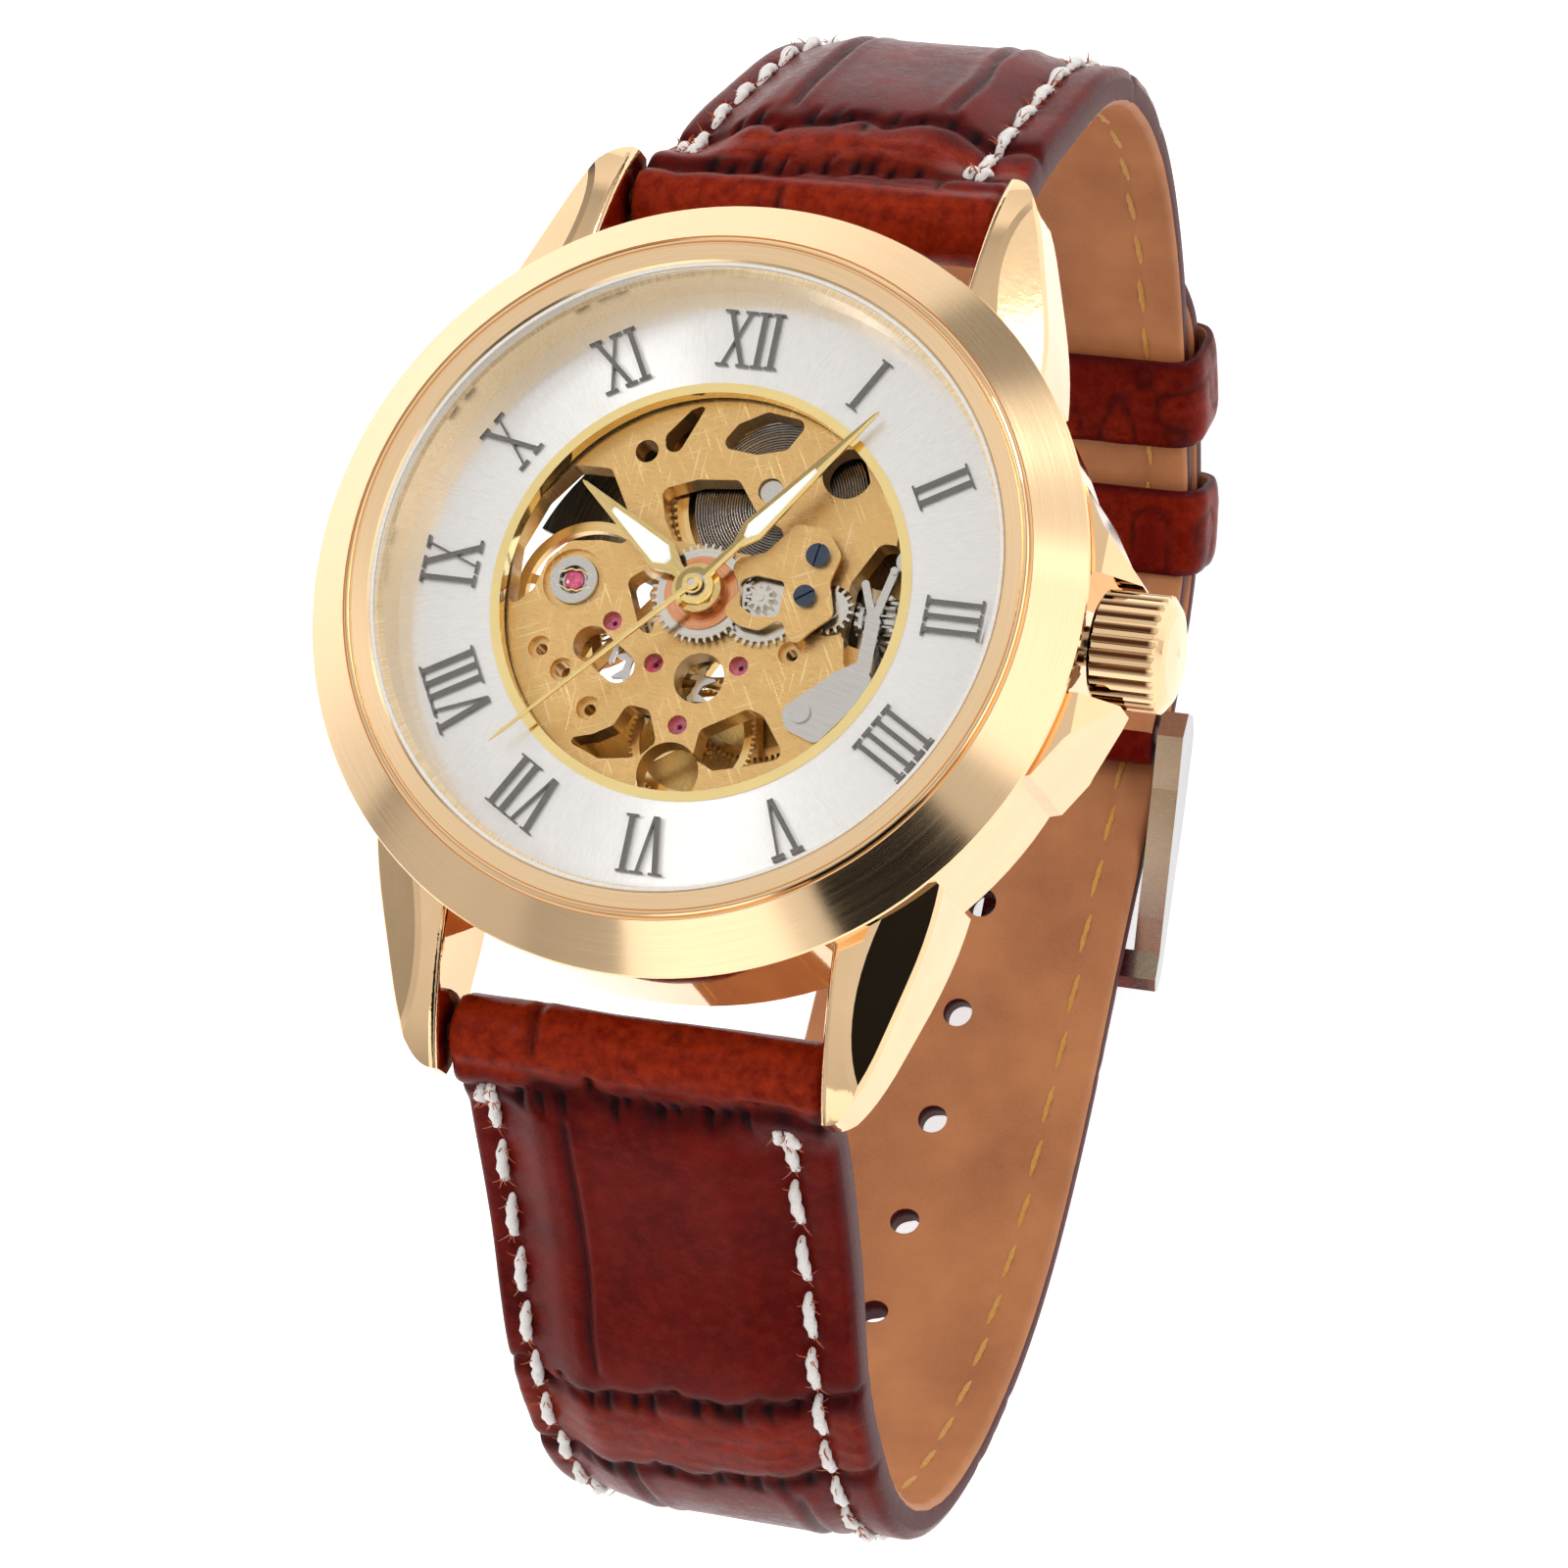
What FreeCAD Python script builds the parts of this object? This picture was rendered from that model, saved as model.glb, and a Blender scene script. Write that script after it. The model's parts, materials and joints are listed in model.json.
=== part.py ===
import FreeCAD, Part
import math
import os
import re
import Sketcher

# Skeleton wristwatch in millimetres: dial up along +Z, 12 o'clock along +Y, crown along +X.
# The hand axis is x = y = 0, and z = 0 is the outer plane of the case back.

os.makedirs("parts", exist_ok=True)
doc = FreeCAD.newDocument("SkeletonWatch")
sheet = doc.addObject("Spreadsheet::Sheet", "Dimensions")
V = FreeCAD.Vector
UP = V(0, 0, 1)

DIMENSIONS = [
    ("case_radius", 19.5, "outer radius of the case middle"),
    ("case_bore", 17.6, "radius of the cavity in the case middle"),
    ("case_low", 0.9, "underside of the case middle"),
    ("case_high", 8.5, "top of the case middle"),
    ("back_radius", 18.4, "outer radius of the case back"),
    ("back_glass_radius", 13.5, "radius of the window in the case back"),
    ("rim_radius", 20.0, "widest radius of the bezel"),
    ("rim_height", 8.95, "height of the bezel's widest circle"),
    ("bezel_high", 11.1, "height of the bezel's flat inner ring"),
    ("groove_radius", 17.4, "polished line between the bezel's slope and its flat ring"),
    ("glass_radius", 16.0, "outer radius of the crystal"),
    ("glass_low", 10.2, "underside of the crystal"),
    ("glass_high", 11.05, "top of the crystal"),
    ("gasket_width", 0.18, "thickness of the crystal's gasket ring"),
    ("rehaut_bore", 15.75, "inner radius of the inner ring"),
    ("rehaut_radius", 16.95, "outer radius of the inner ring"),
    ("dial_low", 7.6, "underside of the dial"),
    ("dial_high", 8.0, "face of the dial"),
    ("dial_opening", 10.37, "radius of the round opening in the dial"),
    ("dial_rim_width", 0.5, "width of the raised rim round the opening"),
    ("numeral_middle", 13.2, "radius of the middle of the numerals"),
    ("numeral_height", 2.95, "height of a numeral"),
    ("numeral_depth", 0.22, "thickness of a numeral"),
    ("lug_gap", 20.1, "distance between two lugs"),
    ("bar_reach", 22.4, "distance of a spring bar from the hand axis"),
    ("bar_height", 2.0, "height of the spring bars"),
    ("bar_radius", 0.75, "radius of a spring bar's barrel"),
    ("bar_pin_radius", 0.4, "radius of a spring bar's end pin"),
    ("stem_height", 6.0, "height of the crown's axis"),
    ("crown_radius", 2.9, "radius over the crown's flutes"),
    ("crown_start", 20.2, "inner face of the crown"),
    ("crown_end", 24.0, "outer end of the crown"),
    ("crown_flutes", 26, "number of flutes round the crown"),
    ("tube_radius", 1.0, "radius of the crown tube"),
    ("stem_radius", 0.42, "radius of the winding stem"),
    ("plate_radius", 12.4, "radius of the main plate"),
    ("plate_low", 5.6, "underside of the main plate"),
    ("plate_high", 7.0, "top of the main plate"),
    ("bridge_low", 2.6, "underside of the barrel bridge and balance cock"),
    ("bridge_high", 3.3, "top of the barrel bridge and balance cock"),
    ("train_bridge_low", 2.1, "underside of the train bridge"),
    ("train_bridge_high", 2.85, "top of the train bridge"),
    ("strap_width", 19.8, "width of the strap between the lugs"),
    ("strap_end_width", 18.0, "width of the strap at the buckle"),
    ("strap_thick", 3.9, "thickness of the padded strap near the lugs"),
    ("strap_thin", 1.9, "thickness of the strap near the buckle"),
    ("hole_pitch", 7.0, "distance between two strap holes"),
    ("hole_radius", 0.9, "radius of a strap hole"),
    ("play", 0.05, "radial clearance of a turning fit"),
]
for row, (alias, value, meaning) in enumerate(DIMENSIONS, start=1):
    sheet.set("A%d" % row, meaning)
    sheet.set("B%d" % row, str(value))
    sheet.setAlias("B%d" % row, alias)
doc.recompute()

PARTS = []


def size(alias):
    """Read one driving dimension from the sheet."""
    return float(sheet.get(alias))


def split_term(term):
    """Split a term such as 'case_high-0.3' into its alias and its offset."""
    if isinstance(term, (int, float)):
        return None, float(term)
    alias, offset = re.fullmatch(r"([a-z_]+)\s*([+-][\d.]+)?", term).groups()
    return alias, float(offset or 0.0)


def amount(term):
    """Work out a term's number."""
    alias, offset = split_term(term)
    return offset if alias is None else size(alias) + offset


def formula(term):
    """Write a term as an expression on the sheet."""
    alias, offset = split_term(term)
    return str(offset) if alias is None else "Dimensions.%s + (%s)" % (alias, offset)


# ---------------------------------------------------------------- parametric bodies

def new_body(name):
    body = doc.addObject("PartDesign::Body", name)
    body.Label = name
    PARTS.append(body)
    return body


def new_sketch(body, role):
    """Attach a sketch to one of the body's own origin planes."""
    plane = [item for item in body.Origin.OriginFeatures if item.Role == role][0]
    sketch = body.newObject("Sketcher::SketchObject", body.Name + "_sketch")
    sketch.AttachmentSupport = [(plane, "")]
    sketch.MapMode = "FlatFace"
    return sketch


def bind_point(sketch, geometry, horizontal, vertical):
    """Fix the start of one line to two terms measured from the sketch's origin."""
    across = Sketcher.Constraint("DistanceX", -1, 1, geometry, 1, amount(horizontal))
    along = Sketcher.Constraint("DistanceY", -1, 1, geometry, 1, amount(vertical))
    for constraint, term in ((across, horizontal), (along, vertical)):
        index = sketch.addConstraint(constraint)
        sketch.setExpression("Constraints[%d]" % index, formula(term))


def add_polygon(sketch, corners):
    """Draw a closed outline whose corners are bound to the sheet."""
    first = sketch.GeometryCount
    places = [V(amount(x), amount(y), 0) for x, y in corners]
    count = len(places)
    lines = [Part.LineSegment(places[i], places[(i + 1) % count]) for i in range(count)]
    sketch.addGeometry(lines, False)
    for i in range(count):
        follower = first + (i + 1) % count
        sketch.addConstraint(Sketcher.Constraint("Coincident", first + i, 2, follower, 1))
    for i, (x, y) in enumerate(corners):
        bind_point(sketch, first + i, x, y)


def turned(name, profile):
    """A body turned about the Z axis from a profile of radii and heights."""
    body = new_body(name)
    sketch = new_sketch(body, "XZ_Plane")
    add_polygon(sketch, profile)
    turn = body.newObject("PartDesign::Revolution", name + "_turn")
    turn.Profile = sketch
    turn.ReferenceAxis = (sketch, ["V_Axis"])
    turn.Angle = 360.0
    return body


def ring(name, inner, outer, low, high):
    """A flat ring between two radii and two heights."""
    return turned(name, [(inner, low), (outer, low), (outer, high), (inner, high)])


# ---------------------------------------------------------------- computed shapes

def shaped(name, shape):
    """A sub-part whose shape is worked out from the sheet in this file."""
    feature = doc.addObject("Part::Feature", name)
    feature.Label = name
    feature.Shape = shape
    feature.Placement = shape.Placement
    PARTS.append(feature)
    return feature


def disc(radius, low, high, x=0.0, y=0.0):
    return Part.makeCylinder(radius, high - low, V(x, y, low), UP)


def tube(outer, inner, low, high, x=0.0, y=0.0):
    return disc(outer, low, high, x, y).cut(disc(inner, low - 1, high + 1, x, y))


def rod_x(radius, start, end, y, z):
    return Part.makeCylinder(radius, end - start, V(start, y, z), V(1, 0, 0))


def prism(wire, low, high):
    """Extrude a closed outline drawn at z = 0 between two heights."""
    solid = Part.Face(wire).extrude(V(0, 0, high - low))
    solid.translate(V(0, 0, low))
    return solid


def polygon(points):
    return Part.makePolygon([V(x, y, 0) for x, y in points] + [V(points[0][0], points[0][1], 0)])


def rounded(points, radius):
    """A closed outline with every corner rounded by a tangent arc."""
    edges = []
    count = len(points)
    corners = [V(x, y, 0) for x, y in points]
    arcs = []
    for i in range(count):
        before, corner, after = corners[i - 1], corners[i], corners[(i + 1) % count]
        to_before = (before - corner).normalize()
        to_after = (after - corner).normalize()
        half = to_before.getAngle(to_after) / 2
        longest = 0.45 * min(before.distanceToPoint(corner), after.distanceToPoint(corner))
        reach = min(radius / math.tan(half), longest)
        arc_radius = reach * math.tan(half)
        middle = corner + (to_before + to_after).normalize() * (arc_radius / math.sin(half) - arc_radius)
        arcs.append((corner + to_before * reach, middle, corner + to_after * reach))
    for i in range(count):
        start, middle, end = arcs[i]
        edges.append(Part.Arc(start, middle, end).toShape())
        following = arcs[(i + 1) % count][0]
        if end.distanceToPoint(following) > 1e-6:
            edges.append(Part.LineSegment(end, following).toShape())
    return Part.Wire(edges)


def fused(shapes):
    """Join shapes into one clean solid."""
    first = shapes[0]
    joined = first.multiFuse(shapes[1:]) if len(shapes) > 1 else first
    return joined.removeSplitter()


def cut_all(shape, tools):
    return shape.cut(Part.makeCompound(tools)) if tools else shape


def as_clock(shape, clockwise):
    turned_shape = shape.copy()
    turned_shape.rotate(V(0, 0, 0), UP, -clockwise)
    return turned_shape


# ---------------------------------------------------------------- case

LUG_SIDES = (1, -1)


def lug_outline():
    """One lug seen from above, at the upper right: straight inner side, curved outer side."""
    inner = size("lug_gap") / 2
    outer = Part.BSplineCurve()
    outer.interpolate([
        V(inner, 24.75, 0), V(11.0, 24.6, 0), V(11.7, 23.8, 0), V(12.45, 22.3, 0), V(13.4, 19.4, 0),
        V(14.3, 16.4, 0), V(14.9, 13.1, 0),
    ])
    corners = [V(14.9, 13.1, 0), V(13.9, 12.2, 0), V(inner, 15.6, 0), V(inner, 24.75, 0)]
    sides = [Part.LineSegment(corners[i], corners[i + 1]).toShape() for i in range(3)]
    return Part.Wire([outer.toShape()] + sides)


def lug_side():
    """The lug seen from the side: its top falls in a smooth curve from the case to the tip."""
    top = Part.BSplineCurve()
    top.interpolate([V(0, 11.0, 8.0), V(0, 16.5, 7.0), V(0, 20.5, 5.8), V(0, 23.4, 4.4), V(0, 25.0, 3.2)])
    low = size("case_low")
    corners = [V(0, 25.0, 3.2), V(0, 25.0, 2.1), V(0, 24.2, 1.5)]
    corners += [V(0, 18.0, low), V(0, 11.0, low), V(0, 11.0, 8.0)]
    sides = [Part.LineSegment(corners[i], corners[i + 1]).toShape() for i in range(5)]
    return Part.Wire([top.toShape()] + sides)


def lug_facet():
    """The block above the polished facet, which slopes down from a ridge to the outer side."""
    start, end = V(11.9, 15.6, 7.25), V(12.3, 24.2, 4.0)
    along, across = end - start, V(1, 0, -0.5)
    corners = [start - along - across * 3, end + along - across * 3]
    corners += [end + along + across * 8, start - along + across * 8]
    return Part.Face(Part.makePolygon(corners + corners[:1])).extrude(V(0, 0, 12))


def lug():
    """One lug: a narrow rounded top beside the strap and a polished facet outside it."""
    side = Part.Face(lug_side()).extrude(V(20, 0, 0))
    solid = prism(lug_outline(), 0, 10).common(side).cut(lug_facet()).Solids[0]
    rim = [edge for edge in solid.Edges if edge.BoundBox.YLength > 6 and edge.BoundBox.XLength > 1.4
           and edge.BoundBox.ZMax > 5]
    solid = solid.makeChamfer(0.2, rim)
    inner = [edge for edge in solid.Edges if edge.BoundBox.XMax < 10.2 and edge.BoundBox.ZMin > 2.5
             and edge.BoundBox.YLength > 5]
    return solid.makeFillet(0.4, inner)


def crown_guard():
    """One of the two pointed shoulders beside the crown, with sloping top and bottom facets."""
    start = size("crown_radius") + 0.15
    corners = [(17.9, start), (21.95, start), (21.6, start + 0.5), (19.9, 5.4), (18.6, 7.4), (17.9, 7.6)]
    plan = polygon(corners)
    facets = [V(17, 0, 1.4), V(19.7, 0, 1.4), V(21.95, 0, 4.9)]
    facets += [V(21.95, 0, 6.9), V(20.2, 0, 8.45), V(17, 0, 8.45)]
    side = Part.Face(Part.makePolygon(facets + facets[:1])).extrude(V(0, 10, 0))
    return prism(plan, 0, 10).common(side)


def mirrored_four(shape):
    """Copies of a shape on both sides of the X and Y axes."""
    right = [shape, shape.mirror(V(0, 0, 0), V(0, 1, 0))]
    return right + [item.mirror(V(0, 0, 0), V(1, 0, 0)) for item in right]


def mid_case():
    radius = size("case_radius")
    low, high = size("case_low"), size("case_high")
    body = disc(radius, low, high)
    bottom = [edge for edge in body.Edges if edge.BoundBox.ZMax < low + 0.01]
    body = body.makeChamfer(0.4, bottom[:1])
    guards = [crown_guard(), crown_guard().mirror(V(0, 0, 0), V(0, 1, 0))]
    body = fused([body] + mirrored_four(lug()) + guards)
    stem = size("stem_height")
    tools = [disc(size("case_bore"), low - 1, high + 1)]
    tools.append(rod_x(size("tube_radius"), 15, 25, 0, stem))
    crown_room = size("crown_radius") + 0.15
    tools.append(Part.makeBox(4, 2 * crown_room, 9, V(19.45, -crown_room, 0)))
    for side in LUG_SIDES:
        hole_end = size("lug_gap") / 2 + 1.2
        reach = side * size("bar_reach")
        hole = rod_x(size("bar_pin_radius") + 0.02, -hole_end, hole_end, reach, size("bar_height"))
        tools.append(hole)
    return shaped("mid_case", cut_all(body, tools))


def bezel():
    slope_top = "bezel_high-0.16"
    profile = [
        ("rehaut_radius", "case_high"), ("rim_radius-0.5", "case_high"),
        ("rim_radius-0.1", "rim_height-0.25"),
        ("rim_radius", "rim_height"), ("rim_radius-0.06", "rim_height+0.14"),
        ("groove_radius+0.24", slope_top), ("groove_radius+0.18", "bezel_high-0.26"),
        ("groove_radius+0.1", "bezel_high-0.26"), ("groove_radius+0.05", "bezel_high+0.02"),
        ("groove_radius-0.02", "bezel_high+0.06"), ("groove_radius-0.1", "bezel_high+0.02"),
        ("groove_radius-0.15", "bezel_high-0.1"), ("groove_radius-0.23", "bezel_high-0.1"),
        ("groove_radius-0.29", "bezel_high"), ("glass_radius+0.3", "bezel_high"),
        ("glass_radius+0.18", "bezel_high-0.12"), ("glass_radius+0.18", "glass_low"),
        ("rehaut_radius", "glass_low"),
    ]
    return turned("bezel", profile)


def crystal():
    """The front glass, a hair smaller than its gasket, with a polished bevel round its top."""
    profile = [
        (0, "glass_low+0.02"), ("glass_radius-0.03", "glass_low+0.02"),
        ("glass_radius-0.03", "glass_high-0.15"), ("glass_radius-0.18", "glass_high"), (0, "glass_high"),
    ]
    return turned("crystal", profile)


def case_back():
    profile = [
        ("back_glass_radius", 0), ("back_radius-0.3", 0), ("back_radius", 0.3), ("back_radius", "case_low"),
        ("case_bore-0.05", "case_low"), ("case_bore-0.05", 1.8), ("case_bore-1", 1.8),
        ("case_bore-1", 1.15), ("back_glass_radius-0.4", 1.15), ("back_glass_radius-0.4", "case_low"),
        ("back_glass_radius", "case_low"),
    ]
    return turned("case_back", profile)


def spring_bar(name, side):
    """A tube between two lugs with a thin pin in each lug."""
    y, z = side * size("bar_reach"), size("bar_height")
    half = size("lug_gap") / 2 - 0.1
    barrel = rod_x(size("bar_radius"), -half, half, y, z)
    pin = rod_x(size("bar_pin_radius"), -half - 1.1, half + 1.1, y, z)
    return shaped(name, fused([barrel, pin]))


def crown():
    """A cap with deep flutes, hollow on its inner side, on the crown's axis."""
    radius, start, end = size("crown_radius"), size("crown_start"), size("crown_end")
    stem = size("stem_height")
    points = [
        (start, size("tube_radius") + size("play")), (start, radius - 0.35), (start + 0.25, radius),
        (end - 0.5, radius), (end - 0.12, radius - 0.5), (end, radius - 0.9), (end + 0.1, 0),
        (start + 1.9, 0), (start + 1.9, size("tube_radius") + size("play")),
    ]
    outline = Part.makePolygon([V(x, 0, r) for x, r in points] + [V(points[0][0], 0, points[0][1])])
    cap = Part.Face(outline).revolve(V(0, 0, 0), V(1, 0, 0), 360)
    flutes = []
    count = int(size("crown_flutes"))
    for i in range(count):
        angle = 2 * math.pi * i / count
        away = radius + 0.13
        flutes.append(rod_x(0.27, start - 1, end - 0.25, away * math.cos(angle), away * math.sin(angle)))
    cap = cut_all(cap, flutes)
    cap.translate(V(0, 0, stem))
    return shaped("crown", cap)


def crown_tube():
    stem, radius = size("stem_height"), size("tube_radius")
    body = rod_x(radius, 17.7, 21.0, 0, stem).cut(rod_x(0.6, 17, 22, 0, stem))
    return shaped("crown_tube", body)


def crown_gasket():
    """The sleeve that slides in the crown tube with the crown but doesn't turn."""
    stem = size("stem_height")
    body = rod_x(0.58, 18.6, 21.6, 0, stem).cut(rod_x(size("stem_radius") + size("play"), 18, 22, 0, stem))
    return shaped("crown_gasket", body)


def stem():
    """The winding stem, with a groove for the setting lever's pin."""
    radius, height = size("stem_radius"), size("stem_height")
    shaft = fused([rod_x(radius, 9.2, 22.1, 0, height), rod_x(0.3, 7.7, 9.2, 0, height)])
    near, far = LEVER_PIN[0] - 0.22, LEVER_PIN[0] + 0.22
    groove = rod_x(radius + 0.2, near, far, 0, height).cut(rod_x(0.26, near - 1, far + 1, 0, height))
    return shaped("stem", shaft.cut(groove))


# ---------------------------------------------------------------- dial and hands

NUMERALS = ["XII", "I", "II", "III", "IIII", "V", "VI", "VII", "VIII", "IX", "X", "XI"]
LETTER_WIDTH = {"I": 0.72, "V": 1.75, "X": 1.85}
THICK = 0.26
THIN = 0.12
SERIF = 0.11


def stroke(x_low, x_high, wide, tall):
    """A straight stroke from the foot line to the head line."""
    half = wide / 2
    return [(x_low - half, 0.0), (x_low + half, 0.0), (x_high + half, tall), (x_high - half, tall)]


def serif(x, y, wide):
    return [(x - wide / 2, y), (x + wide / 2, y), (x + wide / 2, y + SERIF), (x - wide / 2, y + SERIF)]


def letter(kind, x, tall):
    """The outlines of one letter whose left edge is at x."""
    wide = LETTER_WIDTH[kind]
    middle = x + wide / 2
    top = tall - SERIF
    if kind == "I":
        return [stroke(middle, middle, THICK, tall), serif(middle, 0, 0.62), serif(middle, top, 0.62)]
    left, right = x + 0.38, x + wide - 0.38
    heads = [serif(left, top, 0.66), serif(right, top, 0.66)]
    if kind == "V":
        return [stroke(middle - 0.04, left, THICK, tall), stroke(middle + 0.06, right, THIN, tall)] + heads
    feet = [serif(left, 0, 0.66), serif(right, 0, 0.66)]
    return [stroke(right, left, THICK, tall), stroke(left, right, THIN, tall)] + heads + feet


def numeral(word, clockwise):
    tall = size("numeral_height")
    total = sum(LETTER_WIDTH[kind] for kind in word)
    outlines = []
    x = -total / 2
    for kind in word:
        outlines += letter(kind, x, tall)
        x += LETTER_WIDTH[kind]
    low, high = size("dial_high"), size("dial_high") + size("numeral_depth")
    solid = fused([prism(polygon(outline), low, high) for outline in outlines])
    solid.translate(V(0, size("numeral_middle") - tall / 2, 0))
    return as_clock(solid, clockwise)


def hour_numerals():
    numerals = [numeral(word, 30 * hour) for hour, word in enumerate(NUMERALS)]
    return shaped("hour_numerals", Part.makeCompound(numerals))


def hand_blade(outline, window, low, high, clockwise, hub, bore):
    """A pierced blade on a round hub, drawn at 12 o'clock and turned to its place."""
    blade = prism(polygon(outline), low, high)
    if window:
        blade = blade.cut(prism(polygon(window), low - 1, high + 1))
    body = fused([blade, disc(hub, low, high)]).cut(disc(bore, low - 1, high + 1))
    return as_clock(body, clockwise)


def symmetric(half):
    """Mirror the right half of an outline, listed from the hub to the tip."""
    return half + [(-x, y) for x, y in reversed(half) if x > 0]


HOUR_ANGLE = 304.6
MINUTE_ANGLE = 37.5
SECOND_ANGLE = 223.6


def hour_hand():
    half = [(0.28, 0.6), (0.36, 1.5), (0.84, 2.5), (0.75, 3.2), (0.1, 8.4), (0.0, 8.64)]
    window = [(0.2, 2.05), (0.6, 2.65), (0.53, 3.25), (0.14, 6.3)]
    body = hand_blade(symmetric(half), symmetric(window), 8.3, 8.46, HOUR_ANGLE, 1.25, 0.95)
    return shaped("hour_hand", body)


def minute_hand():
    half = [(0.24, 0.5), (0.22, 2.9), (0.62, 3.9), (0.58, 4.5), (0.08, 12.2), (0.0, 12.5)]
    window = [(0.12, 3.45), (0.41, 4.0), (0.38, 4.5), (0.12, 8.3)]
    body = hand_blade(symmetric(half), symmetric(window), 8.66, 8.82, MINUTE_ANGLE, 0.95, 0.62)
    return shaped("minute_hand", body)


def seconds_hand():
    half = [(0.16, 0.3), (0.07, 12.0), (0.0, 12.7)]
    body = hand_blade(symmetric(half), None, 9.02, 9.14, SECOND_ANGLE, 0.5, 0.2)
    collar = tube(0.42, 0.2, 9.0, 9.4)
    return shaped("seconds_hand", fused([body, collar]))


# ---------------------------------------------------------------- places of the movement's arbors

CENTRE = (0.0, 0.0)
BARREL = (2.25, 5.85)
THIRD = (2.5, -3.35)
FOURTH = (0.0, -6.7)
ESCAPE = (-1.9, -3.7)
PALLET = (-4.5, -1.8)
BALANCE = (-7.0, 0.1)
MINUTE_WORK = (3.1, 0.1)
SETTING = (6.586, 0.0)
CROWN_WHEEL = (7.9, 0.0)


def distance(a, b):
    return math.hypot(b[0] - a[0], b[1] - a[1])


def bearing(a, b):
    """Angle of the direction from a to b, in radians from the X axis."""
    return math.atan2(b[1] - a[1], b[0] - a[0])


def pitch_radius(teeth, mate_teeth, place, mate_place):
    """Share the distance between two meshed arbors by their tooth counts."""
    return distance(place, mate_place) * teeth / (teeth + mate_teeth)


def phase_from(teeth, mate_teeth, mate_phase, mate_to_wheel):
    """Turn of a wheel whose teeth interleave with a mate that is already placed."""
    mate_step = 2 * math.pi / mate_teeth
    offset = (mate_to_wheel - mate_phase) / mate_step
    fraction = offset - math.floor(offset)
    step = 2 * math.pi / teeth
    return mate_to_wheel + math.pi + (fraction + 0.5) * step


def toothed(teeth, radius, low, high, place, phase, addendum=0.9):
    """A solid gear blank with teeth: radius is the pitch radius, phase the angle of one tooth."""
    step = 2 * math.pi / teeth
    module = 2 * radius / teeth
    tip, root = radius + addendum * module, radius - 1.25 * module
    flank = [(root, -0.23), (radius, -0.19), (tip, -0.08), (tip, 0.08), (radius, 0.19), (root, 0.23)]
    points = []
    for i in range(teeth):
        for reach, share in flank:
            angle = phase + (i + share) * step
            points.append((place[0] + reach * math.cos(angle), place[1] + reach * math.sin(angle)))
    return prism(polygon(points), low, high)


def crossings(inner, outer, arms, width, low, high, place, turn=0.0):
    """The openings between a wheel's arms, as one cutting shape."""
    opening = tube(outer, inner, low - 1, high + 1, *place)
    bars = []
    for i in range(arms):
        bar = Part.makeBox(outer + 1, width, high - low + 4, V(0, -width / 2, low - 2))
        bar.rotate(V(0, 0, 0), UP, math.degrees(turn) + 360.0 * i / arms)
        bar.translate(V(place[0], place[1], 0))
        bars.append(bar)
    return opening.cut(Part.makeCompound(bars))


def arbor(place, low, high, radius=0.17, pivot=0.1, pivot_length=0.35):
    """A spindle with a thinner pivot at each end."""
    shaft = disc(radius, low, high, *place)
    return [shaft, disc(pivot, low - pivot_length, high + pivot_length, *place)]


def arm(start, end, width, low, high):
    """A bar with round ends between two places."""
    long_side = distance(start, end)
    bar = Part.makeBox(long_side, width, high - low, V(0, -width / 2, low))
    bar.rotate(V(0, 0, 0), UP, math.degrees(bearing(start, end)))
    bar.translate(V(start[0], start[1], 0))
    return [bar, disc(width / 2, low, high, *start), disc(width / 2, low, high, *end)]


def spiral(turns, inner, outer, thick, low, high, place):
    """A flat coil spring."""
    steps = int(turns * 16)
    sides = []
    for offset in (-thick / 2, thick / 2):
        places = []
        for i in range(steps + 1):
            angle = 2 * math.pi * turns * i / steps
            reach = inner + (outer - inner) * i / steps + offset
            places.append(V(place[0] + reach * math.cos(angle), place[1] + reach * math.sin(angle), 0))
        curve = Part.BSplineCurve()
        curve.interpolate(places)
        sides.append((curve.toShape(), places))
    ends = []
    for index in (0, -1):
        ends.append(Part.LineSegment(sides[0][1][index], sides[1][1][index]).toShape())
    ordered = Part.sortEdges([sides[0][0], sides[1][0]] + ends)[0]
    return prism(Part.Wire(ordered), low, high)


# ---------------------------------------------------------------- plates and bridges

PLATE_WINDOWS = [
    [(-0.9, 7.8), (-0.1, 9.1), (1.3, 9.9), (3.6, 9.6), (2.7, 8.0), (1.2, 7.6)],
    [(-3.4, 5.3), (-1.6, 6.0), (0.55, 6.2), (1.9, 4.5), (3.3, 3.9), (3.7, 2.7), (3.0, 2.3), (-2.2, 2.7),
     (-2.9, 3.8)],
    [(-3.8, 8.1), (-2.7, 9.6), (-1.9, 10.0), (-2.3, 8.9), (-2.9, 7.3), (-3.6, 7.3)],
    [(-10.2, -1.9), (-10.5, 1.8), (-9.6, 4.3), (-8.2, 6.1), (-6.25, 6.1), (-5.0, 4.1), (-4.4, 2.2),
     (-6.0, 2.3), (-7.6, 2.1), (-8.6, 1.0), (-9.0, -0.6)],
    [(-4.2, 0.4), (-3.4, 1.05), (-2.4, 0.8), (-2.3, -2.3), (-3.0, -2.1)],
    [(-5.8, -8.1), (-4.3, -7.7), (-3.3, -7.1), (-2.8, -5.95), (-1.6, -6.1), (-0.9, -7.7), (-1.7, -8.6),
     (-3.7, -8.9)],
    [(1.1, -8.3), (1.2, -6.8), (3.45, -5.45), (4.3, -5.7), (5.85, -7.7), (3.8, -8.4), (2.3, -8.8)],
]
KEYLESS_OPENING = [
    (7.35, -1.35), (7.35, 1.5), (8.5, 3.7), (9.5, 3.7), (10.0, 1.45), (12.9, 1.35), (12.9, -1.35),
    (9.6, -1.9),
]
LEVER_RECESS = [(9.3, 1.2), (12.9, 1.2), (12.9, 4.3), (9.3, 4.3)]
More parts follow.
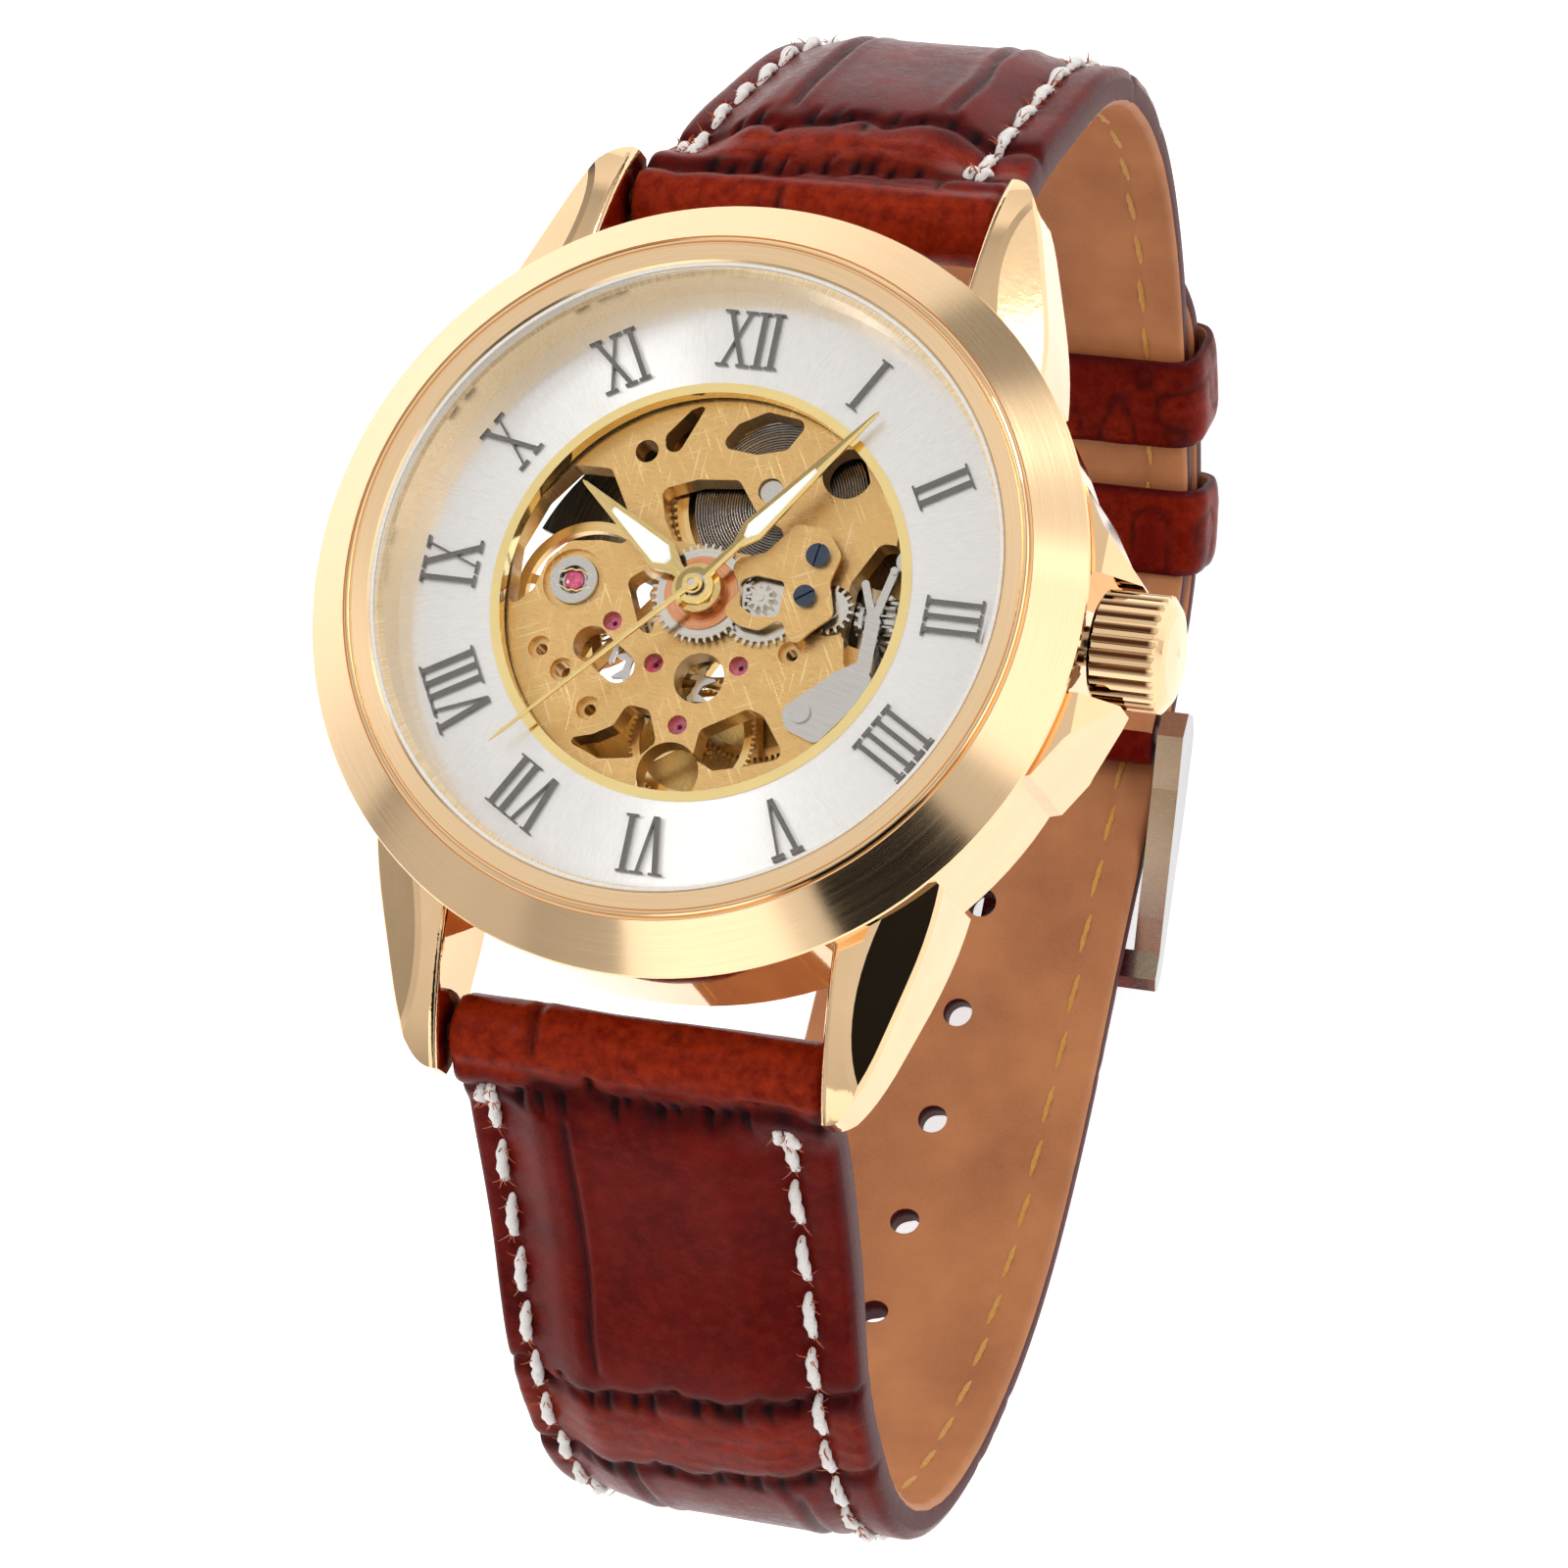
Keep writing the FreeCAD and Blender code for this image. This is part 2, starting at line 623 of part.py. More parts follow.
YOKE_RECESS = [(7.5, -1.0), (9.2, -1.0), (10.9, -3.6), (9.6, -4.6), (7.8, -2.6)]
PLATE_HOLES = [
    (6.06, 7.1, 1.3), (0.6, -4.2, 1.3), (-5.35, -3.1, 0.95), (-4.6, 7.2, 0.6), (-6.7, -4.5, 0.4),
]
JEWELS = [PALLET, ESCAPE, THIRD, FOURTH]
JEWEL_RADIUS = 0.5
COUNTERBORES = [(-8.0, -3.6), (-4.8, -6.4), (5.0, -2.4), (-6.6, -4.6)]


def main_plate():
    low, high = size("plate_low"), size("plate_high")
    body = disc(size("plate_radius"), low, high)
    tools = [prism(rounded(window, 0.45), low - 1, high + 1) for window in PLATE_WINDOWS]
    tools += [disc(radius, low - 1, high + 1, x, y) for x, y, radius in PLATE_HOLES]
    tools.append(fused(arm((-5.3, -3.1), (-3.7, -4.1), 1.7, low - 1, high + 1)))
    tools.append(disc(1.6, low - 1, high + 1, 0, -9.2).common(disc(10.6, low - 1, high + 1)))
    tools.append(prism(rounded(KEYLESS_OPENING, 0.5), low - 1, high + 1))
    tools.append(prism(polygon(LEVER_RECESS), high - 0.5, high + 1))
    tools.append(prism(polygon(YOKE_RECESS), high - 0.9, high + 1))
    tools.append(disc(1.3, high - 0.8, high + 1, *SETTING))
    tools.append(disc(0.72, low - 1, high + 1, *CENTRE))
    tools += [disc(JEWEL_RADIUS, low - 1, high + 1, *place) for place in JEWELS]
    tools.append(disc(0.64, low - 1, high + 1, *BARREL))
    tools += [disc(1.25, low - 1, high + 1, *BALANCE), disc(1.62, high - 0.25, high + 1, *BALANCE)]
    for place in COUNTERBORES:
        tools.append(disc(0.62, high - 0.35, high + 1, *place))
        tools.append(disc(0.3, low - 1, high + 1, *place))
    tools.append(disc(0.25, high - 0.4, high + 1, *MINUTE_WORK))
    return shaped("main_plate", cut_all(body, tools))


def plate_jewels():
    low, high = size("plate_low"), size("plate_high")
    stones = [tube(JEWEL_RADIUS, 0.13, low + 0.05, high - 0.45, *place) for place in JEWELS]
    return shaped("plate_jewels", Part.makeCompound(stones))


def shock_setting():
    """The balance's sprung jewel in its holder: a split ring, a cap jewel and a lyre-shaped spring."""
    high = size("plate_high")
    x, y = BALANCE
    holder = tube(1.23, 0.75, high - 1.1, high + 0.02, x, y)
    seat = tube(0.76, 0.16, high - 1.1, high - 0.75, x, y)
    cap = disc(0.55, high - 0.7, high - 0.3, x, y)
    cap = cap.fuse(disc(0.76, high - 0.75, high - 0.7, x, y))
    lyre = tube(0.62, 0.5, high - 0.3, high - 0.2, x, y)
    ears = Part.makeBox(1.6, 0.16, 0.1, V(x - 0.8, y - 0.08, high - 0.3))
    ears = ears.cut(disc(0.5, high - 1, high + 1, x, y))
    return shaped("shock_setting", fused([holder, seat, cap, lyre, ears]))


def barrel_bridge():
    low, high = size("bridge_low"), size("bridge_high")
    outline = [
        (-6.4, 13.0), (-3.9, 3.2), (-2.4, 2.0), (2.0, 1.7), (5.0, 0.8), (6.6, -0.8), (7.3, -3.6),
        (13.0, -3.6), (13.0, 13.0),
    ]
    body = prism(rounded(outline, 0.8), low, high).common(disc(size("plate_radius") - 0.1, low, high))
    feet = [(-5.4, 9.3, 0.95), (9.6, -2.7, 0.8), (10.4, 5.0, 0.8)]
    posts = [disc(radius, high, size("plate_low"), x, y) for x, y, radius in feet]
    tools = [disc(0.64, low - 1, high + 1, *BARREL), disc(0.36, low - 1, high + 1, *CROWN_WHEEL)]
    return shaped("barrel_bridge", cut_all(fused([body] + posts), tools))


def train_bridge():
    """Slim arms between the wheels' bosses, a crescent behind the lower openings and the rotor's post."""
    low, high = size("train_bridge_low"), size("train_bridge_high")
    feet = [(-6.4, -7.7), (7.0, -7.5)]
    joins = [(CENTRE, THIRD), (THIRD, FOURTH), (FOURTH, ESCAPE), (ESCAPE, CENTRE)]
    joins += [(FOURTH, feet[0]), (THIRD, feet[1])]
    bars = []
    for start, end in joins:
        bars += arm(start, end, 1.5, low, high)
    bosses = [disc(1.05, low, high, *place) for place in (CENTRE, THIRD, FOURTH, ESCAPE)]
    posts = [disc(0.9, low, size("plate_low"), *place) for place in feet]
    rotor_post = disc(0.5, 1.4, low, *CENTRE)
    sector = prism(polygon([(0, 0), (-13, -11.7), (0, -18), (13, -10.2)]), low, high)
    crescent = tube(size("plate_radius") - 0.3, 5.4, low, high).common(sector)
    body = fused(bars + bosses + posts + [rotor_post, crescent])
    pivots = [disc(0.14, low + 0.1, high + 1, *place) for place in (THIRD, FOURTH, ESCAPE)]
    pivots.append(disc(0.25, low + 0.2, high + 1, *CENTRE))
    return shaped("train_bridge", cut_all(body, pivots))


def balance_cock():
    low, high = size("bridge_low"), size("bridge_high")
    foot = (-9.2, -5.2)
    body = fused(arm(BALANCE, foot, 2.3, low, high) + [disc(1.5, low, high, *BALANCE)])
    post = disc(1.15, high, size("plate_low"), *foot)
    return shaped("balance_cock", fused([body, post]).cut(disc(0.16, low + 0.2, high + 1, *BALANCE)))


def pallet_bridge():
    """A bar across the pallet arbor, on two short feet under the main plate."""
    across = bearing(ESCAPE, BALANCE) + math.pi / 2
    feet = []
    for sign in (1, -1):
        feet.append((PALLET[0] + sign * 2.55 * math.cos(across), PALLET[1] + sign * 2.55 * math.sin(across)))
    low, high = 4.62, 4.88
    body = arm(feet[0], feet[1], 0.85, low, high)
    posts = [disc(0.42, high, size("plate_low"), *place) for place in feet]
    return shaped("pallet_bridge", fused(body + posts).cut(disc(0.14, low - 1, high + 1, *PALLET)))


def motion_bridge():
    """The bridge over the minute wheel, open above the minute pinion."""
    outline = [
        (1.15, 1.75), (3.0, 2.35), (4.3, 4.0), (5.9, 3.9), (6.9, 2.65), (6.55, 1.2), (7.1, -0.5), (6.1, -1.4),
        (5.5, -2.15), (4.9, -1.8), (4.5, -0.9), (3.4, -1.65), (2.3, -1.5), (1.3, -0.85), (2.15, 0.3),
    ]
    low, high = 7.68, 7.86
    body = prism(rounded(outline, 0.6), low, high)
    window = [(1.95, 0.75), (2.7, 1.15), (4.3, 1.0), (4.3, -0.9), (3.0, -0.95), (2.2, -0.5)]
    opening = prism(rounded(window, 0.35), low - 1, high + 1)
    foot = [disc(0.3, size("plate_high"), high, 5.35, -1.75), disc(0.5, size("plate_high"), high, 5.75, 2.45)]
    return shaped("motion_bridge", fused([body] + foot).cut(opening))


def screw(x, y, low, radius, turn):
    """A slotted screw head on a thinner shank."""
    head = disc(radius, low, low + 0.3, x, y)
    slot = Part.makeBox(2 * radius + 0.2, 0.16, 0.3, V(-radius - 0.1, -0.08, low + 0.17))
    slot.rotate(V(0, 0, 0), UP, turn)
    slot.translate(V(x, y, 0))
    return head.cut(slot)


def screw_down(x, y, top, radius, turn):
    """A slotted screw head that faces the case back."""
    head = disc(radius, top - 0.25, top, x, y)
    slot = Part.makeBox(2 * radius + 0.2, 0.18, 0.3, V(-radius - 0.1, -0.09, top - 0.43))
    slot.rotate(V(0, 0, 0), UP, turn)
    slot.translate(V(x, y, 0))
    return head.cut(slot)


def movement_screws():
    face = [screw(5.75, 2.45, 7.86, 0.6, 82), screw(5.5, 0.3, 7.86, 0.56, 35)]
    bridge, train = size("bridge_low"), size("train_bridge_low")
    back = [(-5.4, 9.3, bridge), (10.4, 5.0, bridge), (-9.2, -5.2, bridge)]
    back += [(-6.4, -7.7, train), (7.0, -7.5, train)]
    backs = [screw_down(x, y, top, 0.65, 40 * i) for i, (x, y, top) in enumerate(back)]
    return shaped("movement_screws", Part.makeCompound(face + backs))


# ---------------------------------------------------------------- keyless work

def setting_jumper():
    """The thin steel spring plate at the lower right of the movement."""
    high = size("plate_high")
    low, top = high + 0.03, high + 0.25
    outline = [(5.2, -5.3), (5.6, -6.3), (7.3, -6.9), (9.0, -4.6), (9.5, -3.3), (8.75, -2.4), (7.6, -3.1)]
    blade = prism(rounded(outline, 0.5), low, top)
    neck = (8.95, -0.4)
    arms = arm((8.95, -2.9), neck, 0.75, low, top) + arm(neck, (9.55, 2.3), 0.42, low, top)
    arms += arm(neck, (8.2, 1.5), 0.4, low, top)
    pins = [disc(0.55, low, top + 0.18, 6.2, -5.4), disc(0.2, low, top + 0.12, 9.55, 2.3)]
    return shaped("setting_jumper", fused([blade] + arms + pins))


LEVER_PIVOT = (10.0, 3.0)
LEVER_PIN = (10.975, 0.0)


def setting_lever():
    high = size("plate_high")
    low, top = high - 0.4, high - 0.12
    body = arm(LEVER_PIVOT, LEVER_PIN, 0.6, low, top) + [disc(0.6, low, top, *LEVER_PIVOT)]
    pin = disc(0.16, size("stem_height") + 0.3, low, *LEVER_PIN)
    return shaped("setting_lever", fused(body + [pin]))


def yoke():
    """The fork that holds the clutch by its groove."""
    high = size("plate_high")
    low, top = high - 0.85, high - 0.6
    body = arm((9.7, -3.5), (8.9, -1.6), 0.7, low, top) + arm((8.9, -1.6), (8.4, -0.72), 0.3, low, top)
    return shaped("yoke", fused(body + [disc(0.7, low, top, 9.7, -3.5)]))


def face_teeth(count, inner, outer, start, end):
    """Axial teeth round the X axis, as separate wedges to fuse to a hub."""
    wedges = []
    for i in range(count):
        wedge = Part.makeBox(end - start, 0.22, outer - inner, V(start, -0.11, inner))
        wedge.rotate(V(0, 0, 0), V(1, 0, 0), 360.0 * i / count)
        wedges.append(wedge)
    return wedges


def clutch():
    """The sliding pinion on the stem's thin end, grooved for the yoke."""
    inner, outer = 0.35, 0.85
    hub = rod_x(outer, 8.05, 8.75, 0, 0).cut(rod_x(outer + 0.2, 8.25, 8.55, 0, 0).cut(rod_x(0.6, 8, 9, 0, 0)))
    body = fused([hub] + face_teeth(12, 0.5, outer, 7.85, 8.05) + face_teeth(10, 0.5, outer, 8.75, 8.92))
    body = body.cut(rod_x(inner, 7, 10, 0, 0))
    body.translate(V(0, 0, size("stem_height")))
    return shaped("clutch", body)


WINDING_TEETH = 14
CONTRATE_TEETH = 22
CROWN_SPUR_TEETH = 46
RATCHET_TEETH = 52
CONTRATE_RADIUS = 1.65


def winding_radius():
    return CONTRATE_RADIUS * WINDING_TEETH / CONTRATE_TEETH


def winding_pinion():
    """Turns with the stem: spur teeth mesh with the crown wheel's upright teeth."""
    radius = winding_radius()
    wheel = toothed(WINDING_TEETH, radius, 0, 0.7, (0, 0), 0.0)
    wheel = wheel.fuse(disc(0.85, 0, 0.05)).fuse(disc(0.8, 0.7, 0.95))
    wheel = wheel.cut(disc(size("stem_radius") + size("play"), -1, 3))
    wheel.rotate(V(0, 0, 0), V(0, 1, 0), 90)
    wheel.translate(V(9.2, 0, size("stem_height")))
    return shaped("winding_pinion", wheel)


def crown_wheel():
    """Upright teeth under the winding pinion, an arbor, and a flat wheel that drives the ratchet."""
    radius = CONTRATE_RADIUS
    top = size("stem_height") - winding_radius() + 0.02
    hub = [disc(radius + 0.35, top - 0.45, top - 0.2, *CROWN_WHEEL)]
    for i in range(CONTRATE_TEETH):
        tooth = Part.makeBox(0.62, 0.17, 0.3, V(radius - 0.3, -0.085, top - 0.25))
        tooth.rotate(V(0, 0, 0), UP, 360.0 * (i + 0.5) / CONTRATE_TEETH)
        tooth.translate(V(CROWN_WHEEL[0], CROWN_WHEEL[1], 0))
        hub.append(tooth)
    shaft = disc(0.3, 2.3, top - 0.4, *CROWN_WHEEL)
    spur_radius = pitch_radius(CROWN_SPUR_TEETH, RATCHET_TEETH, CROWN_WHEEL, BARREL)
    towards = bearing(CROWN_WHEEL, BARREL)
    spur = toothed(CROWN_SPUR_TEETH, spur_radius, 2.3, 2.5, CROWN_WHEEL, towards)
    spur = spur.cut(crossings(0.9, spur_radius - 0.6, 5, 0.6, 2.3, 2.5, CROWN_WHEEL))
    return shaped("crown_wheel", fused(hub + [shaft, spur]))


def ratchet_wheel():
    radius = pitch_radius(RATCHET_TEETH, CROWN_SPUR_TEETH, BARREL, CROWN_WHEEL)
    back = bearing(BARREL, CROWN_WHEEL)
    wheel = toothed(RATCHET_TEETH, radius, 2.3, 2.5, BARREL, back + math.pi / RATCHET_TEETH)
    wheel = wheel.cut(disc(0.6, 2, 3, *BARREL))
    return shaped("ratchet_wheel", wheel)


def click():
    """The pawl beside the ratchet wheel, on the barrel bridge."""
    reach = pitch_radius(RATCHET_TEETH, CROWN_SPUR_TEETH, BARREL, CROWN_WHEEL) + 0.22
    angle = math.radians(196)
    tip = (BARREL[0] + reach * math.cos(angle), BARREL[1] + reach * math.sin(angle))
    pivot = (tip[0] - 0.35, tip[1] + 2.0)
    outline = [tip, (tip[0] - 0.5, tip[1] - 0.1)]
    outline += [(pivot[0] - 0.55, pivot[1]), (pivot[0] - 0.1, pivot[1] + 0.5)]
    low, high = size("bridge_low") - 0.3, size("bridge_low") - 0.02
    post = disc(0.55, low, size("bridge_low"), pivot[0] - 0.2, pivot[1])
    body = fused([prism(polygon(outline), low, high), post])
    return shaped("click", body)


def setting_wheel():
    high = size("plate_high")
    teeth = 18
    radius = pitch_radius(teeth, 36, SETTING, MINUTE_WORK)
    towards = bearing(SETTING, MINUTE_WORK)
    wheel = toothed(teeth, radius, high + 0.06, high + 0.25, SETTING, towards)
    lower = toothed(teeth, 0.9, high - 0.7, high - 0.3, SETTING, 0.0)
    return shaped("setting_wheel", fused([wheel, lower, disc(0.5, high - 0.75, high + 0.35, *SETTING)]))


# ---------------------------------------------------------------- motion works

CANNON_TEETH, MINUTE_TEETH, MINUTE_PINION_TEETH, HOUR_TEETH = 12, 36, 10, 40


def cannon_pinion():
    radius = pitch_radius(CANNON_TEETH, MINUTE_TEETH, CENTRE, MINUTE_WORK)
    pinion = toothed(CANNON_TEETH, radius, 7.06, 7.3, CENTRE, bearing(CENTRE, MINUTE_WORK))
    pipe = disc(0.62, 7.06, 8.86, *CENTRE)
    return shaped("cannon_pinion", fused([pinion, pipe]).cut(disc(0.5, 7, 9, *CENTRE)))


def minute_wheel():
    direction = bearing(MINUTE_WORK, CENTRE)
    radius = pitch_radius(MINUTE_TEETH, CANNON_TEETH, MINUTE_WORK, CENTRE)
    wheel = toothed(MINUTE_TEETH, radius, 7.06, 7.24, MINUTE_WORK, direction + math.pi / MINUTE_TEETH)
    small = pitch_radius(MINUTE_PINION_TEETH, HOUR_TEETH, MINUTE_WORK, CENTRE)
    pinion = toothed(MINUTE_PINION_TEETH, small, 7.24, 7.62, MINUTE_WORK, direction)
    post = disc(0.2, 6.62, 7.1, *MINUTE_WORK)
    return shaped("minute_wheel", fused([wheel, pinion, post, disc(0.2, 7.6, 7.7, *MINUTE_WORK)]))


def hour_wheel():
    direction = bearing(CENTRE, MINUTE_WORK)
    radius = pitch_radius(HOUR_TEETH, MINUTE_PINION_TEETH, CENTRE, MINUTE_WORK)
    wheel = toothed(HOUR_TEETH, radius, 7.36, 7.54, CENTRE, direction + math.pi / HOUR_TEETH)
    pipe = disc(0.95, 7.36, 8.46, *CENTRE)
    return shaped("hour_wheel", fused([wheel, pipe]).cut(disc(0.68, 7, 9, *CENTRE)))


# ---------------------------------------------------------------- going train

BARREL_TEETH, CENTRE_PINION = 84, 12
CENTRE_TEETH, THIRD_PINION = 80, 10
THIRD_TEETH, SECONDS_PINION = 75, 10
FOURTH_TEETH, ESCAPE_PINION = 70, 7
ESCAPE_TEETH = 15
ESCAPE_RADIUS = 2.79


def barrel_drum():
    """A toothed drum, open on the dial side so that the mainspring shows."""
    radius = pitch_radius(BARREL_TEETH, CENTRE_PINION, BARREL, CENTRE)
    teeth = toothed(BARREL_TEETH, radius, 5.05, 5.35, BARREL, bearing(BARREL, CENTRE))
    drum = disc(4.95, 3.75, 5.35, *BARREL)
    hollow = disc(4.75, 3.95, 6, *BARREL)
    return shaped("barrel_drum", fused([teeth, drum]).cut(hollow).cut(disc(0.66, 3, 6, *BARREL)))


def barrel_arbor():
    core = disc(1.05, 4.0, 5.3, *BARREL)
    return shaped("barrel_arbor", fused([disc(0.6, 2.2, 6.75, *BARREL), core]))


def mainspring():
    return shaped("mainspring", spiral(11, 1.35, 4.6, 0.16, 4.1, 5.2, BARREL))


def centre_wheel():
    radius = pitch_radius(CENTRE_TEETH, THIRD_PINION, CENTRE, THIRD)
    wheel = toothed(CENTRE_TEETH, radius, 3.5, 3.66, CENTRE, bearing(CENTRE, THIRD))
    wheel = wheel.cut(crossings(1.0, radius - 0.55, 4, 0.4, 3.5, 3.66, CENTRE, 0.4))
    small = pitch_radius(CENTRE_PINION, BARREL_TEETH, CENTRE, BARREL)
    phase = bearing(CENTRE, BARREL) + math.pi / CENTRE_PINION
    pinion = toothed(CENTRE_PINION, small, 4.85, 5.45, CENTRE, phase)
    pipe = disc(0.5, 3.42, 8.6, *CENTRE)
    return shaped("centre_wheel", fused([wheel, pinion, pipe]).cut(disc(0.26, 3, 9, *CENTRE)))


def third_wheel():
    radius = pitch_radius(THIRD_TEETH, SECONDS_PINION, THIRD, CENTRE)
    wheel = toothed(THIRD_TEETH, radius, 3.05, 3.2, THIRD, bearing(THIRD, CENTRE))
    wheel = wheel.cut(crossings(0.8, radius - 0.5, 4, 0.38, 3.05, 3.2, THIRD, 0.2))
    small = pitch_radius(THIRD_PINION, CENTRE_TEETH, THIRD, CENTRE)
    pinion = toothed(THIRD_PINION, small, 3.35, 3.8, THIRD, bearing(THIRD, CENTRE) + math.pi / THIRD_PINION)
    return shaped("third_wheel", fused([wheel, pinion] + arbor(THIRD, 2.95, 5.5)))


def seconds_wheel():
    """The centre-seconds pinion and its long arbor through the hollow centre wheel."""
    small = pitch_radius(SECONDS_PINION, THIRD_TEETH, CENTRE, THIRD)
    phase = bearing(CENTRE, THIRD) + math.pi / SECONDS_PINION
    pinion = toothed(SECONDS_PINION, small, 2.95, 3.32, CENTRE, phase)
    return shaped("seconds_wheel", fused([pinion, disc(0.2, 2.4, 9.3, *CENTRE)]))


def fourth_wheel():
    third_phase = bearing(THIRD, CENTRE)
    small = pitch_radius(SECONDS_PINION, THIRD_TEETH, FOURTH, THIRD)
    phase = phase_from(SECONDS_PINION, THIRD_TEETH, third_phase, bearing(THIRD, FOURTH))
    pinion = toothed(SECONDS_PINION, small, 2.95, 3.32, FOURTH, phase)
    radius = pitch_radius(FOURTH_TEETH, ESCAPE_PINION, FOURTH, ESCAPE)
    wheel = toothed(FOURTH_TEETH, radius, 4.4, 4.56, FOURTH, bearing(FOURTH, ESCAPE))
    wheel = wheel.cut(crossings(0.7, radius - 0.5, 4, 0.36, 4.4, 4.56, FOURTH, 0.6))
    return shaped("fourth_wheel", fused([pinion, wheel] + arbor(FOURTH, 2.9, 5.5)))


def escape_wheel():
    """Fifteen pointed teeth that lean the same way."""
    points = []
    step = 2 * math.pi / ESCAPE_TEETH
    for i in range(ESCAPE_TEETH):
        for reach, share in ((2.15, 0.05), (2.2, 0.55), (ESCAPE_RADIUS, 0.92), (ESCAPE_RADIUS - 0.08, 1.0)):
            angle = (i + share) * step
            points.append((ESCAPE[0] + reach * math.cos(angle), ESCAPE[1] + reach * math.sin(angle)))
    wheel = prism(polygon(points), 5.1, 5.26)
    wheel = wheel.cut(crossings(0.55, 1.8, 5, 0.28, 5.1, 5.26, ESCAPE))
    small = pitch_radius(ESCAPE_PINION, FOURTH_TEETH, ESCAPE, FOURTH)
    phase = bearing(ESCAPE, FOURTH) + math.pi / ESCAPE_PINION
    pinion = toothed(ESCAPE_PINION, small, 4.25, 4.85, ESCAPE, phase)
    return shaped("escape_wheel", fused([wheel, pinion] + arbor(ESCAPE, 2.9, 5.5)))


def pallet_fork():
    """An anchor with two stones at the escape wheel and a notched lever towards the balance."""
    low, high = 5.0, 5.2
    line = bearing(ESCAPE, PALLET)
    pieces = []
    for sign in (1, -1):
        angle = line + sign * math.radians(30)
        reach = ESCAPE_RADIUS + 0.16
        stone = (ESCAPE[0] + reach * math.cos(angle), ESCAPE[1] + reach * math.sin(angle))
        pieces += arm(PALLET, stone, 0.24, low, high)
    towards = bearing(PALLET, BALANCE)
    notch = (PALLET[0] + 2.5 * math.cos(towards), PALLET[1] + 2.5 * math.sin(towards))
    pieces += arm(PALLET, notch, 0.26, low, high) + [disc(0.3, low, high, *notch)]
    mouth = (notch[0] + math.cos(towards), notch[1] + math.sin(towards))
    opening = arm(notch, mouth, 0.26, low - 1, high + 1)
    body = fused(pieces).cut(fused(opening))
    return shaped("pallet_fork", fused([body] + arbor(PALLET, 4.95, 5.5, 0.14, 0.09, 0.3)))


def balance_wheel():
    rim = tube(3.9, 3.4, 4.0, 4.55, *BALANCE)
    arms = []
    for i in range(3):
        angle = math.radians(50 + 120 * i)
        end = (BALANCE[0] + 3.6 * math.cos(angle), BALANCE[1] + 3.6 * math.sin(angle))
        arms += arm(BALANCE, end, 0.5, 4.15, 4.4)
    roller = disc(0.9, 4.65, 4.85, *BALANCE)
    towards = bearing(BALANCE, PALLET)
    reach = distance(BALANCE, PALLET) - 2.5
    impulse = (BALANCE[0] + reach * math.cos(towards), BALANCE[1] + reach * math.sin(towards))
    pin = disc(0.1, 4.85, 5.18, *impulse)
    staff = [disc(0.2, 3.4, 5.5, *BALANCE), disc(0.1, 2.9, 6.1, *BALANCE), disc(0.6, 4.05, 4.7, *BALANCE)]
    return shaped("balance_wheel", fused([rim] + arms + [roller, pin] + staff))


def hairspring():
    collet = tube(0.55, 0.2, 3.45, 3.7, *BALANCE)
    return shaped("hairspring", fused([spiral(7, 0.5, 2.3, 0.06, 3.5, 3.66, BALANCE), collet]))


def rotor():
    """The winding weight: a thin half disc with a heavy rim, on a post under the train bridge."""
    sector = Part.makeCylinder(12.1, 3, V(0, 0, 0), UP, 190)
    sector.rotate(V(0, 0, 0), UP, -30)
    rim = tube(12.1, 9.6, 1.2, 1.78).common(sector)
    web = tube(9.7, 0.9, 1.5, 1.75).common(sector)
    holes = []
    for turn in (10, 65, 120):
        angle = math.radians(turn)
        holes.append(fused(arm((5 * math.cos(angle - 0.3), 5 * math.sin(angle - 0.3)),
                               (5 * math.cos(angle + 0.3), 5 * math.sin(angle + 0.3)), 2.6, 0, 3)))
    hub = tube(1.6, 0.56, 1.42, 1.95)
    return shaped("rotor", fused([rim, web.cut(Part.makeCompound(holes)), hub]).cut(disc(0.56, 0, 3)))


# ---------------------------------------------------------------- strap and buckle

# The outer side of each strap piece from its lug to its end, as (y, z) at the strap's middle.
UPPER_PATH = [
    (22.4, 3.9), (24.7, 2.5), (27.8, 0.6), (31.3, -2.6), (34.8, -6.9), (37.8, -11.2), (39.9, -16.4),
    (40.6, -22.5), (39.9, -28.5), (37.7, -34.5), (34.6, -39.6), (31.3, -43.6), (27.8, -47.3),
    (23.6, -50.6),
    (19.2, -52.0), (15.2, -52.35), (11.3, -52.7),
]
LOWER_PATH = [
    (-22.4, 3.9), (-24.7, 2.1), (-28.3, -2.2), (-32.5, -7.6), (-36.3, -12.0), (-39.2, -17.5), (-41.2, -24.5),
    (-40.7, -31.0), (-37.7, -37.6), (-32.2, -43.8), (-24.5, -49.0), (-17.0, -51.5), (-10.0, -52.7),
    (-4.0, -53.25), (1.0, -53.75), (6.0, -54.4), (11.3, -54.75), (15.2, -54.6), (19.2, -54.25),
]
LOOP_MIDDLE = V(0, 0, -25)
PIN_REACH, PIN_HEIGHT = 11.3, -51.0
PIN_RADIUS = 0.75
TAIL_GAP = 0.28


def smooth(path):
    curve = Part.BSplineCurve()
    curve.interpolate([V(0, y, z) for y, z in path])
    return curve


def frame_at(curve, share):
    """Place, direction and inward normal at a share of the curve's length."""
    length = curve.length()
    parameter = curve.parameterAtDistance(length * share, curve.FirstParameter)
    place = curve.value(parameter)
    along = curve.tangent(parameter)[0]
    inward = V(0, -along.z, along.y)
    if inward.dot(LOOP_MIDDLE - place) < 0:
        inward = inward * -1
    return place, along, inward


def share_of(curve, y, z):
    """Share of the curve's length at the place nearest to (y, z)."""
    parameter = curve.parameter(V(0, y, z))
    return curve.length(curve.FirstParameter, parameter) / curve.length()


